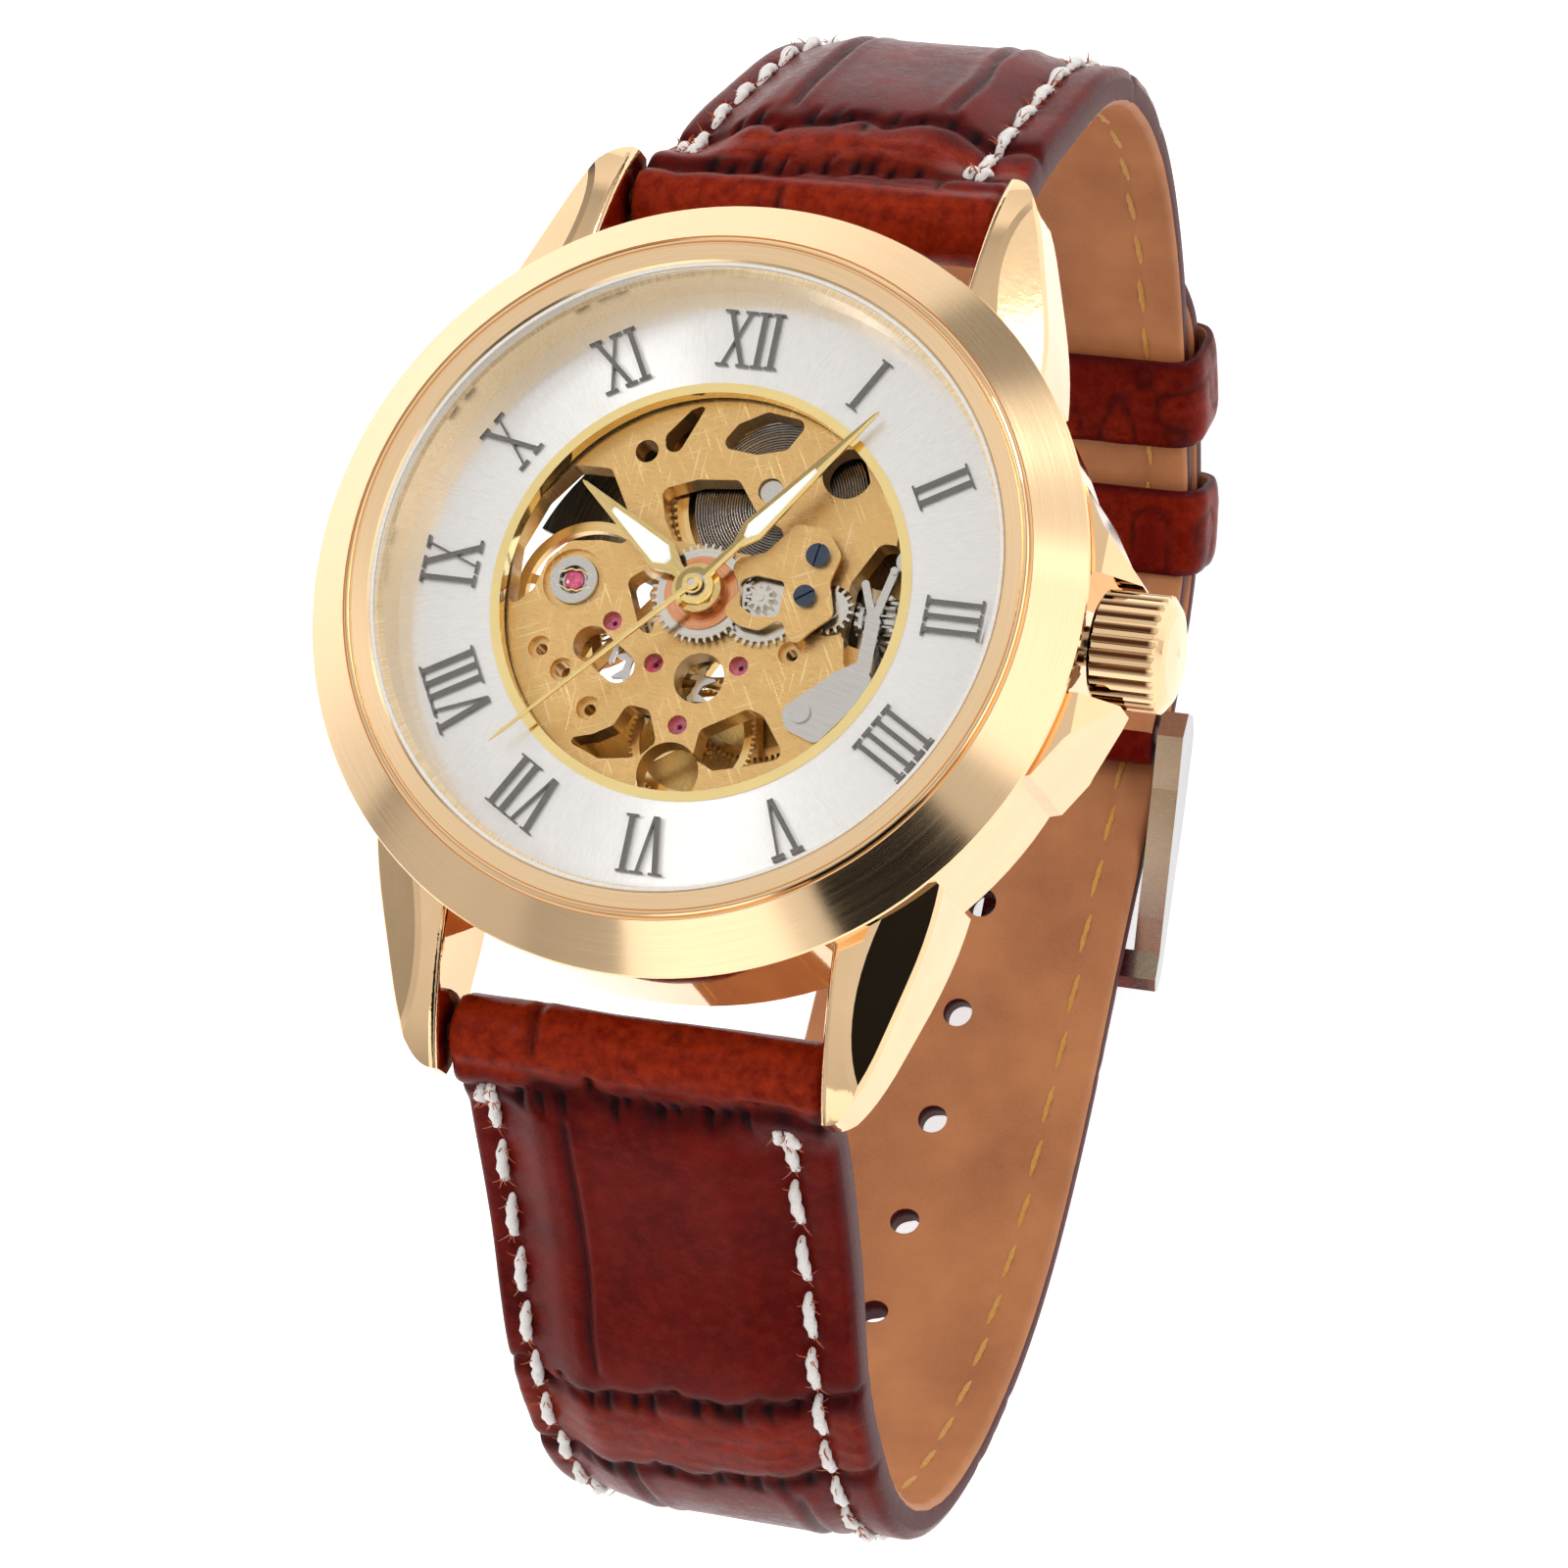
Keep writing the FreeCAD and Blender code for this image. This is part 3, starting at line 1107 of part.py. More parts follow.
def ribbon(curve, stations, width_of, thickness_of):
    """A strap lofted through rectangular sections square to its path."""
    sections = []
    for i in range(stations + 1):
        share = i / stations
        place, along, inward = frame_at(curve, share)
        half, deep = width_of(share) / 2, thickness_of(share)
        across = V(1, 0, 0)
        corners = [place - across * half, place + across * half]
        corners += [place + across * half + inward * deep, place - across * half + inward * deep]
        sections.append(Part.makePolygon(corners + corners[:1]))
    return Part.makeLoft(sections, True, False)


def blend(share, low, high):
    """A smooth step from 0 at low to 1 at high."""
    x = min(1.0, max(0.0, (share - low) / (high - low)))
    return x * x * (3 - 2 * x)


def strap_width(share):
    return size("strap_width") + (size("strap_end_width") - size("strap_width")) * blend(share, 0.05, 0.7)


def upper_thickness(share):
    return size("strap_thick") + (size("strap_thin") - size("strap_thick")) * blend(share, 0.05, 0.5)


def lower_thickness(share):
    return size("strap_thick") + (size("strap_thin") - size("strap_thick")) * blend(share, 0.04, 0.4)


def lug_roll(side):
    """The rolled strap end round a spring bar."""
    half = size("strap_width") / 2
    return rod_x(1.9, -half, half, side * size("bar_reach"), size("bar_height"))


def bar_hole(side):
    return rod_x(size("bar_radius") + 0.03, -20, 20, side * size("bar_reach"), size("bar_height"))


def strap_12():
    curve = smooth(UPPER_PATH)
    body = ribbon(curve, 30, strap_width, upper_thickness)
    half = size("strap_end_width") / 2
    loop = rod_x(1.7, -half, half, PIN_REACH, PIN_HEIGHT)
    body = body.fuse([lug_roll(1), loop])
    slot = Part.makeBox(2.1, 5.2, 6, V(-1.05, 9.0, -54))
    pin = rod_x(PIN_RADIUS + 0.06, -20, 20, PIN_REACH, PIN_HEIGHT)
    return shaped("strap_12", body.cut([bar_hole(1), pin, slot]))


def tail_path():
    """The lower piece's path, carried on outside the upper piece to the strap's tip."""
    upper = smooth(UPPER_PATH)
    away = TAIL_GAP + size("strap_thin")
    last = []
    for y, z in ((23.6, -50.6), (27.8, -47.3), (31.3, -43.6), (34.6, -39.6), (37.0, -36.0)):
        place, along, inward = frame_at(upper, share_of(upper, y, z))
        outer = place - inward * away
        last.append((outer.y, outer.z))
    return smooth(LOWER_PATH + last)


USED_HOLE = (6.6, -54.45)


def strap_holes(curve):
    """Round holes at an even pitch along the tail, and a slot where the tang goes through."""
    used = share_of(curve, *USED_HOLE)
    pitch = size("hole_pitch") / curve.length()
    tools = []
    for step in range(-5, 2):
        place, along, inward = frame_at(curve, used + step * pitch)
        start = place - inward * 2
        if step == 0:
            continue
        tools.append(Part.makeCylinder(size("hole_radius"), 5, start, inward))
    tools.append(Part.makeBox(1.9, 4.5, 3.6, V(-0.95, 4.3, -55.6)))
    return tools


def strap_6():
    curve = tail_path()
    body = ribbon(curve, 44, strap_width, lower_thickness)
    body = body.fuse([lug_roll(-1)])
    return shaped("strap_6", body.cut([bar_hole(-1)] + strap_holes(curve)))


def keeper_shape(y, z, length, wall, room):
    """A leather loop round both layers of the strap, square to the upper piece's path."""
    curve = smooth(UPPER_PATH)
    place, along, inward = frame_at(curve, share_of(curve, y, z))
    thin = size("strap_thin")
    half = size("strap_end_width") / 2 + 0.35
    low, high = -(thin + TAIL_GAP + room), thin + room
    deep = high - low
    side = half + wall
    outer = Part.makeBox(2 * side, length, deep + 2 * wall, V(-side, -length / 2, low - wall))
    inner = Part.makeBox(2 * half, length + 2, deep, V(-half, -length / 2 - 1, low))
    loop = outer.cut(inner)
    corners = []
    for edge in loop.Edges:
        box = edge.BoundBox
        if abs(box.YLength - length) < 0.1 and abs(abs(box.Center.x) - side) < 0.01:
            corners.append(edge)
    loop = loop.makeFillet(0.6, corners)
    across = (1, 0, 0, place.x)
    turned_y = (0, along.y, inward.y, place.y)
    turned_z = (0, along.z, inward.z, place.z)
    matrix = FreeCAD.Matrix(*across, *turned_y, *turned_z, 0, 0, 0, 1)
    if matrix.determinant() < 0:
        return loop.transformGeometry(matrix)
    return loop.transformed(matrix)


def buckle_frame():
    """Two side arms and a cross bar bent from one piece, with the pin that carries it."""
    side = [
        (12.6, -50.1), (12.8, -51.2), (12.0, -52.2), (8.0, -53.3), (-0.6, -54.9), (-2.2, -55.2),
        (-3.4, -55.0), (-3.6, -54.4), (-3.0, -53.95), (-1.4, -53.85), (0.6, -53.2), (8.0, -50.9),
        (11.0, -49.8),
    ]
    outline = Part.makePolygon([V(-10.9, y, z) for y, z in side] + [V(-10.9, side[0][0], side[0][1])])
    body = Part.Face(outline).extrude(V(21.8, 0, 0))
    inside = Part.makeBox(18.6, 20, 12, V(-9.3, -1.35, -58))
    rest = Part.makeBox(1.8, 4, 1.0, V(-0.9, -4.4, -55.6))
    body = body.cut([inside, rest])
    pin = rod_x(PIN_RADIUS, -10.2, 10.2, PIN_REACH, PIN_HEIGHT)
    return shaped("buckle_frame", fused([body, pin]))


def buckle_tang():
    """A bent tongue: a ring on the pin, a steep part through the strap, and a tip on the cross bar."""
    thick, half = 0.6, 0.7
    path = [(10.5, -51.35), (8.2, -51.45), (5.3, -54.8), (-3.7, -54.93)]
    pieces = []
    for start, end in zip(path, path[1:]):
        long_side = distance(start, end)
        bar = Part.makeBox(2 * half, long_side, thick, V(-half, 0, -thick / 2))
        bar.rotate(V(0, 0, 0), V(1, 0, 0), math.degrees(bearing(start, end)))
        bar.translate(V(0, start[0], start[1]))
        pieces.append(bar)
    pieces += [rod_x(thick / 2, -half, half, y, z) for y, z in path[1:]]
    pieces.append(rod_x(1.35, -half, half, PIN_REACH, PIN_HEIGHT))
    return shaped("buckle_tang", fused(pieces).cut(rod_x(PIN_RADIUS + 0.06, -9, 9, PIN_REACH, PIN_HEIGHT)))


# ---------------------------------------------------------------- build and write

PLATES = [
    main_plate, plate_jewels, shock_setting, barrel_bridge, train_bridge, balance_cock, pallet_bridge,
    motion_bridge, movement_screws,
]
KEYLESS_WORK = [
    setting_jumper, setting_lever, yoke, clutch, winding_pinion, crown_wheel, ratchet_wheel, click,
    setting_wheel,
]
WHEELWORK = [
    cannon_pinion, minute_wheel, hour_wheel, barrel_drum, barrel_arbor, mainspring, centre_wheel,
    third_wheel, seconds_wheel, fourth_wheel, escape_wheel, pallet_fork, balance_wheel, hairspring, rotor,
]


def build():
    mid_case()
    bezel()
    crystal()
    ring("crystal_gasket", "glass_radius", "glass_radius+0.18", "glass_low", "bezel_high-0.1")
    ring("rehaut", "rehaut_bore", "rehaut_radius", "dial_high", "glass_low")
    case_back()
    window = [(0, 0), ("back_glass_radius-0.03", 0), ("back_glass_radius-0.03", "case_low"), (0, "case_low")]
    turned("back_crystal", window)
    crown_tube()
    crown_gasket()
    crown()
    stem()
    spring_bar("spring_bar_12", 1)
    spring_bar("spring_bar_6", -1)
    holder = tube(17.55, size("plate_radius") + 0.05, 1.9, size("dial_low"))
    tunnel = rod_x(1.06, 12, 18, 0, size("stem_height"))
    shaped("movement_holder", holder.cut(tunnel))
    ring("dial", "dial_opening+0.5", "rehaut_radius-0.05", "dial_low", "dial_high")
    ring("dial_rim", "dial_opening", "dial_opening+0.5", "dial_low-0.3", "dial_high+0.07")
    hour_numerals()
    for make in PLATES + KEYLESS_WORK + WHEELWORK:
        make()
    ring("dial_washer", 0.96, 1.9, 7.56, 7.64)
    hour_hand()
    minute_hand()
    seconds_hand()
    strap_12()
    strap_6()
    shaped("fixed_keeper", keeper_shape(24.4, -50.1, 5.2, 0.8, 0.4))
    shaped("floating_keeper", keeper_shape(31.0, -43.9, 5.6, 0.8, 0.3))
    buckle_frame()
    buckle_tang()


def check_and_write():
    """Refuse a failed object or a bad shape, then write one file for each sub-part."""
    doc.recompute()
    for item in doc.Objects:
        bad = {"Invalid", "Error"} & set(item.State)
        if bad:
            raise RuntimeError("%s is %s" % (item.Label, bad))
    for item in PARTS:
        if item.Shape.isNull() or not item.Shape.isValid() or item.Shape.Volume <= 0:
            raise RuntimeError("%s has a bad shape" % item.Label)
    for item in PARTS:
        item.Shape.exportStep("parts/%s.step" % item.Label)
    print("%d sub-parts" % len(PARTS))


build()
check_and_write()
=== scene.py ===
"""The looks of a skeleton wristwatch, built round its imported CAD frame.

Everything is in metres in the row frame: the dial faces +Z, 12 o'clock is towards +Y
and the crown towards +X. The strap loop hangs below the case. Lengths written in
millimetres are multiplied by MM.
"""
import json
import math

import bmesh
import bpy
import numpy as np
from mathutils import Matrix, Vector


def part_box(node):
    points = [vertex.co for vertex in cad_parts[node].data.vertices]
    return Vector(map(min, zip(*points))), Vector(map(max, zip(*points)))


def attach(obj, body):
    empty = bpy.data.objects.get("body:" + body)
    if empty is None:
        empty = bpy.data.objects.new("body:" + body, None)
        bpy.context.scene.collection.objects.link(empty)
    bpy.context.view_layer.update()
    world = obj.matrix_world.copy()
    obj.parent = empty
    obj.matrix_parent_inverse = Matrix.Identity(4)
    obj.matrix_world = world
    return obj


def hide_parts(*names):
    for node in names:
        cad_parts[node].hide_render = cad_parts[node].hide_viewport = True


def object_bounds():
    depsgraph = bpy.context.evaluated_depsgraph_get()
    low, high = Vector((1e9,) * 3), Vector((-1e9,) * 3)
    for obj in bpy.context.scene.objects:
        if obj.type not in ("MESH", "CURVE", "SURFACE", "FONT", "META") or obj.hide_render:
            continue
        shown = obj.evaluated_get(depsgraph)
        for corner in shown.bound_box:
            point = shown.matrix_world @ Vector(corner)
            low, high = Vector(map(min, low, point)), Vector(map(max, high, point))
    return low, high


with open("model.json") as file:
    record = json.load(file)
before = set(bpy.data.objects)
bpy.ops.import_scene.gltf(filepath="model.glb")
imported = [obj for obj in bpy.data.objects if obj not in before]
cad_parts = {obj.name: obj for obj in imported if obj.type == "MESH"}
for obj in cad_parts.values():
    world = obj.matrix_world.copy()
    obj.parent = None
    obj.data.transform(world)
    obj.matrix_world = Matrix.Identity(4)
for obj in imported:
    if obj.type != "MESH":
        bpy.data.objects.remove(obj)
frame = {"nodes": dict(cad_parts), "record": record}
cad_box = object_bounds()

MM = 0.001
NODES = frame["nodes"]
HOUR_ANGLE, MINUTE_ANGLE, SECONDS_ANGLE = 304.6, 37.5, 223.6


# ---------------------------------------------------------------- shading kit

def srgb(red, green, blue):
    """A linear colour from 0-255 display values."""
    out = []
    for value in (red, green, blue):
        share = value / 255
        out.append(share / 12.92 if share <= 0.04045 else ((share + 0.055) / 1.055) ** 2.4)
    return (*out, 1.0)


class Tree:
    """A node tree, with short calls that each add a node and give back its output."""

    def __init__(self, tree):
        self.nodes, self.links = tree.nodes, tree.links

    def plug(self, socket, value):
        if isinstance(value, bpy.types.NodeSocket):
            self.links.new(value, socket)
        else:
            socket.default_value = value

    def node(self, kind, **settings):
        made = self.nodes.new("ShaderNode" + kind)
        for key, value in settings.items():
            setattr(made, key, value)
        return made

    def vector(self, operation, a, b=None, scale=None):
        made = self.node("VectorMath", operation=operation)
        self.plug(made.inputs[0], a)
        if b is not None:
            self.plug(made.inputs[1], b)
        if scale is not None:
            self.plug(made.inputs["Scale"], scale)
        return made.outputs["Value" if operation in ("LENGTH", "DOT_PRODUCT") else "Vector"]

    def math(self, operation, a, b=0.0, clamp=False):
        made = self.node("Math", operation=operation, use_clamp=clamp)
        self.plug(made.inputs[0], a)
        self.plug(made.inputs[1], b)
        return made.outputs[0]

    def remap(self, value, low, high, out_low=0.0, out_high=1.0, smooth=False):
        made = self.node("MapRange", interpolation_type="SMOOTHSTEP" if smooth else "LINEAR")
        for socket, given in zip(made.inputs[:5], (value, low, high, out_low, out_high)):
            self.plug(socket, given)
        return made.outputs[0]


class Paint(Tree):
    """One Principled material and the nodes behind its sockets."""

    def __init__(self, name, colour, metallic, roughness, **sockets):
        self.material = bpy.data.materials.new(name)
        self.material.use_nodes = True
        super().__init__(self.material.node_tree)
        self.shader = self.nodes["Principled BSDF"]
        self.set("Base Color", colour)
        self.set("Metallic", metallic)
        self.set("Roughness", roughness)
        for socket, value in sockets.items():
            self.set(socket.replace("_", " "), value)
        self.normal = None

    def set(self, socket, value):
        self.plug(self.shader.inputs[socket], value)

    def place(self):
        """The point on the piece, in millimetres."""
        coordinates = self.node("TexCoord")
        return self.vector("SCALE", coordinates.outputs["Object"], scale=1 / MM)

    def split(self, vector):
        """The three parts of a vector."""
        made = self.node("SeparateXYZ")
        self.plug(made.inputs[0], vector)
        return made.outputs

    def stretched(self, vector, x, y, z):
        """Coordinates scaled by axis, so that noise reads as brushing."""
        return self.vector("MULTIPLY", vector, (x, y, z))

    def turned(self, vector, degrees):
        """Coordinates turned about Z."""
        made = self.node("VectorRotate", rotation_type="Z_AXIS")
        self.plug(made.inputs["Vector"], vector)
        made.inputs["Angle"].default_value = math.radians(degrees)
        return made.outputs[0]

    def round_about(self, x=0.0, y=0.0):
        """Direction and distance from an axis parallel to Z, and the height, in millimetres."""
        parts = self.split(self.vector("SUBTRACT", self.place(), (x, y, 0.0)))
        join = self.node("CombineXYZ")
        self.plug(join.inputs[0], parts[0])
        self.plug(join.inputs[1], parts[1])
        flat = join.outputs[0]
        return self.vector("NORMALIZE", flat), self.vector("LENGTH", flat), parts[2]

    def wound(self, towards, spread, rise):
        """Coordinates that turn with a direction and climb with a level, for lines round an axis."""
        climb = self.node("CombineXYZ")
        self.plug(climb.inputs[2], rise)
        return self.vector("ADD", self.vector("SCALE", towards, scale=spread), climb.outputs[0])

    def noise(self, vector, scale, detail, roughness=0.5):
        made = self.node("TexNoise")
        self.plug(made.inputs["Vector"], vector)
        made.inputs["Scale"].default_value = scale
        made.inputs["Detail"].default_value = detail
        made.inputs["Roughness"].default_value = roughness
        return made.outputs["Fac"]

    def cells(self, vector, scale):
        made = self.node("TexVoronoi")
        self.plug(made.inputs["Vector"], vector)
        made.inputs["Scale"].default_value = scale
        return made.outputs["Distance"]

    def mix(self, factor, a, b):
        made = self.node("Mix", data_type="RGBA")
        self.plug(made.inputs["Factor"], factor)
        self.plug(made.inputs[6], a)
        self.plug(made.inputs[7], b)
        return made.outputs[2]

    def between(self, level, a, b):
        """A colour that goes from one to the other with the middle range of a noise."""
        return self.mix(self.remap(level, 0.3, 0.7), a, b)

    def rough(self, level, low, high):
        """Roughness that goes from low to high with the middle range of a noise."""
        self.set("Roughness", self.remap(level, 0.3, 0.7, low, high))

    def attribute(self, name):
        return self.node("Attribute", attribute_name=name).outputs["Fac"]

    def bump(self, height, millimetres, strength=1.0):
        made = self.node("Bump")
        made.inputs["Strength"].default_value = strength
        made.inputs["Distance"].default_value = millimetres * MM
        self.plug(made.inputs["Height"], height)
        if self.normal is not None:
            self.plug(made.inputs["Normal"], self.normal)
        self.normal = made.outputs[0]
        self.set("Normal", self.normal)

    def turned_tangent(self):
        self.set("Tangent", self.node("Tangent", direction_type="RADIAL", axis="Z").outputs[0])


def darker(colour, share):
    """The colour with its brightness cut to a share."""
    return (*(share * part for part in colour[:3]), 1.0)


ROSE_GOLD = srgb(240, 203, 158)
YELLOW_GOLD = srgb(250, 224, 156)
BRASS = srgb(232, 192, 122)
STEEL = srgb(204, 200, 194)
DARK_STEEL = srgb(110, 106, 102)
PLATE_ROUGHNESS = 0.3
STEM_HEIGHT = 6.0
POLISHED_RING = 17.45
SATIN_INSIDE = 17.25


def polished_metal(name, colour, roughness):
    """Mirror metal with faint handling marks and a slow change of gloss."""
    paint = Paint(name, colour, 1.0, roughness)
    place = paint.place()
    cloud = paint.noise(place, 0.35, 3.0)
    hair = paint.noise(paint.stretched(place, 4.0, 60.0, 30.0), 1.0, 2.0)
    paint.set("Base Color", paint.between(cloud, colour, darker(colour, 0.93)))
    paint.set("Roughness", paint.remap(hair, 0.35, 0.75, roughness * 0.7, roughness * 1.5))
    paint.bump(paint.noise(place, 2.2, 4.0), 0.004, 0.35)
    return paint.material


def turned_metal(name, colour, roughness, grooves, x=0.0, y=0.0):
    """Metal brushed in circles round an axis parallel to Z."""
    paint = Paint(name, colour, 1.0, roughness, Anisotropic=0.7, Anisotropic_Rotation=0.25)
    towards, distance, height = paint.round_about(x, y)
    slope = paint.math("MULTIPLY", height, 0.7)
    ring = paint.math("MULTIPLY", paint.math("ADD", distance, slope), grooves)
    brushed = paint.noise(paint.wound(towards, 1.5, ring), 1.0, 3.0, 0.6)
    cloud = paint.noise(towards, 2.0, 2.0)
    glint = paint.remap(brushed, 0.3, 0.7, 0.0, 0.25)
    paint.set("Base Color", paint.mix(glint, colour, srgb(255, 240, 210)))
    both = paint.math("ADD", brushed, cloud)
    paint.set("Roughness", paint.remap(both, 0.6, 1.4, roughness * 0.7, roughness * 1.25))
    paint.bump(brushed, 0.003, 0.5)
    paint.turned_tangent()
    return paint.material


def sunburst_metal(name, colour, roughness, lines):
    """Metal brushed outwards from the hand axis."""
    paint = Paint(name, colour, 0.85, roughness, Anisotropic=0.75)
    towards, distance, _ = paint.round_about()
    ray = paint.wound(towards, 1.0, paint.math("MULTIPLY", distance, 0.012))
    fine = paint.noise(ray, lines, 3.0, 0.6)
    broad = paint.noise(ray, 3.0, 2.0)
    paint.set("Base Color", paint.between(fine, darker(colour, 0.92), colour))
    paint.rough(broad, roughness * 0.85, roughness * 1.2)
    paint.bump(fine, 0.0015, 0.5)
    paint.turned_tangent()
    return paint.material


def plate_metal(name, colour, angle):
    """Gilt plate with straight brushing one way and stray scratches across it."""
    paint = Paint(name, colour, 1.0, PLATE_ROUGHNESS)
    place = paint.place()
    grain = paint.turned(place, angle)
    brushed = paint.noise(paint.stretched(grain, 1.2, 26.0, 26.0), 1.0, 4.0, 0.65)
    scratches = None
    for turn, shift in ((angle + 48, 3.1), (angle - 35, 7.7), (angle + 80, 12.3)):
        way = paint.vector("ADD", paint.turned(place, turn), (shift, shift, 0.0))
        hair = paint.noise(paint.stretched(way, 0.28, 9.0, 0.0), 1.0, 1.0)
        line = paint.remap(hair, 0.66, 0.72, 0.0, 1.0)
        scratches = line if scratches is None else paint.math("MAXIMUM", scratches, line)
    tone = paint.between(brushed, darker(colour, 0.84), colour)
    tone = paint.mix(paint.math("MULTIPLY", scratches, 0.4), tone, srgb(255, 236, 190))
    paint.set("Base Color", tone)
    paint.rough(brushed, PLATE_ROUGHNESS * 0.75, PLATE_ROUGHNESS * 1.3)
    paint.bump(paint.math("ADD", brushed, paint.math("MULTIPLY", scratches, -0.8)), 0.005, 0.6)
    return paint.material


def brushed_steel(name, colour, angle=15, roughness=0.16):
    """Steel with fine straight brushing."""
    paint = Paint(name, colour, 1.0, roughness)
    grain = paint.turned(paint.place(), angle)
    brushed = paint.noise(paint.stretched(grain, 0.7, 22.0, 6.0), 1.0, 3.0, 0.6)
    shade = paint.remap(brushed, 0.25, 0.75)
    paint.set("Base Color", paint.mix(shade, darker(colour, 0.9), colour))
    paint.rough(brushed, roughness * 0.7, roughness * 1.4)
    paint.bump(brushed, 0.0025, 0.5)
    return paint.material


def faceted_hand(name, degrees, tilt):
    """A gold hand folded along its middle, so that one half shines and the other is dark."""
    paint = Paint(name, YELLOW_GOLD, 1.0, 0.1)
    place = paint.turned(paint.place(), degrees)
    fold = paint.math("MULTIPLY", paint.math("ABSOLUTE", paint.split(place)[0]), -1.0)
    worn = paint.noise(paint.stretched(place, 20.0, 1.5, 10.0), 1.0, 2.0)
    paint.rough(worn, 0.07, 0.14)
    paint.set("Base Color", paint.between(worn, srgb(238, 204, 132), YELLOW_GOLD))
    paint.bump(fold, tilt)
    return paint.material


def rehaut_metal():
    """The inner ring: upright brushing that still mirrors the numerals."""
    paint = Paint("rehaut_gold", ROSE_GOLD, 1.0, 0.16)
    towards, _, height = paint.round_about()
    upright = paint.wound(towards, 1.0, paint.math("MULTIPLY", height, 0.06))
    line = paint.noise(upright, 190.0, 3.0, 0.6)
    paint.set("Base Color", paint.between(line, srgb(230, 200, 158), srgb(252, 230, 190)))
    paint.rough(line, 0.12, 0.24)
    paint.bump(line, 0.004, 0.5)
    return paint.material


def bezel_metal():
    """A brushed slope, a polished line and a satin inner ring, told apart by their radius."""
    paint = Paint("bezel_gold", ROSE_GOLD, 1.0, 0.16, Anisotropic=0.75, Anisotropic_Rotation=0.25)
    towards, distance, height = paint.round_about()
    ring = paint.math("MULTIPLY", paint.math("SUBTRACT", distance, height), 22.0)
    brushed = paint.noise(paint.wound(towards, 2.5, ring), 1.0, 3.0, 0.6)
    inner = paint.remap(distance, SATIN_INSIDE, SATIN_INSIDE + 0.05, 1.0, 0.0)
    away = paint.math("ABSOLUTE", paint.math("SUBTRACT", distance, POLISHED_RING))
    polished = paint.remap(away, 0.14, 0.2, 1.0, 0.0)
    # Painted sheen: the brushing lines are lifted toward a pale highlight colour along the grain.
    tone = paint.mix(paint.remap(brushed, 0.3, 0.7, 0.0, 0.3), ROSE_GOLD, srgb(255, 232, 196))
    paint.set("Base Color", tone)
    satin = paint.remap(brushed, 0.3, 0.7, 0.1, 0.19)
    flat = paint.math("MAXIMUM", satin, paint.math("MULTIPLY", inner, 0.24))
    shine = paint.math("SUBTRACT", flat, paint.math("MULTIPLY", polished, 0.14), clamp=True)
    paint.set("Roughness", shine)
    paint.bump(brushed, 0.002, 0.5)
    paint.turned_tangent()
    return paint.material


def crown_metal():
    """Polished gold, with painted shade darkening the valleys between the crown's flutes."""
    paint = Paint("crown_gold", ROSE_GOLD, 1.0, 0.07)
    x, y, z = paint.split(paint.place())
    rise = paint.math("SUBTRACT", z, STEM_HEIGHT)
    squares = [paint.math("MULTIPLY", side, side) for side in (y, rise)]
    distance = paint.math("SQRT", paint.math("ADD", *squares))
    valley = paint.remap(distance, 2.77, 2.88, 1.0, 0.0)
    fluted = paint.remap(x, 23.2, 23.45, 1.0, 0.0)
    shade = paint.math("MULTIPLY", valley, fluted)
    paint.set("Base Color", paint.mix(shade, ROSE_GOLD, srgb(84, 46, 20)))
    worn = paint.noise(paint.place(), 2.0, 3.0)
    paint.rough(worn, 0.05, 0.11)
    return paint.material


def glass(name, tint):
    """Clear crystal: it bends and mirrors light, and lets the lamps through unshaded."""
    paint = Paint(name, tint, 0.0, 0.0, IOR=1.05, Transmission_Weight=1.0)
    faint = paint.noise(paint.place(), 0.8, 2.0)
    paint.bump(faint, 0.0006, 0.2)
    clear = paint.node("BsdfTransparent")
    clear.inputs["Color"].default_value = (0.97, 0.97, 0.97, 1.0)
    ray = paint.node("LightPath")
    mix = paint.node("MixShader")
    output = paint.nodes["Material Output"]
    paint.plug(mix.inputs[0], ray.outputs["Is Shadow Ray"])
    paint.links.new(paint.shader.outputs[0], mix.inputs[1])
    paint.links.new(clear.outputs[0], mix.inputs[2])
    paint.links.new(mix.outputs[0], output.inputs["Surface"])
    return paint.material


def gasket_plastic(name, colour):
    """Moulded plastic with a slightly uneven surface."""
    paint = Paint(name, colour, 0.0, 0.35, IOR=1.46)
    speck = paint.noise(paint.place(), 6.0, 3.0)
    paint.rough(speck, 0.25, 0.45)
    paint.set("Base Color", paint.between(speck, darker(colour, 0.88), colour))
    paint.bump(speck, 0.005, 0.3)
    return paint.material


def mottled(name, colour, tones, roughness, grain, relief=None, **sockets):
    """A material whose colour wanders between two tones with a noise, which may also lift it."""
    paint = Paint(name, colour, 0.0, roughness, **sockets)
    level = paint.noise(paint.place(), *grain)
    paint.set("Base Color", paint.between(level, *tones))
    if relief is not None:
        paint.bump(level, *relief)
    return paint.material


def jewel():
    """Synthetic ruby."""
    tones = srgb(120, 14, 40), srgb(214, 70, 120)
    return mottled("ruby", srgb(176, 30, 70), tones, 0.06, (3.0, 2.0), IOR=1.76, Coat_Weight=0.6)


def lume():
    """The chalky white fill of the hands."""
    tones = srgb(238, 234, 222), srgb(254, 252, 246)
    return mottled("lume", srgb(250, 248, 240), tones, 0.55, (30.0, 3.0), (0.01, 0.4))


# ---------------------------------------------------------------- leather and thread

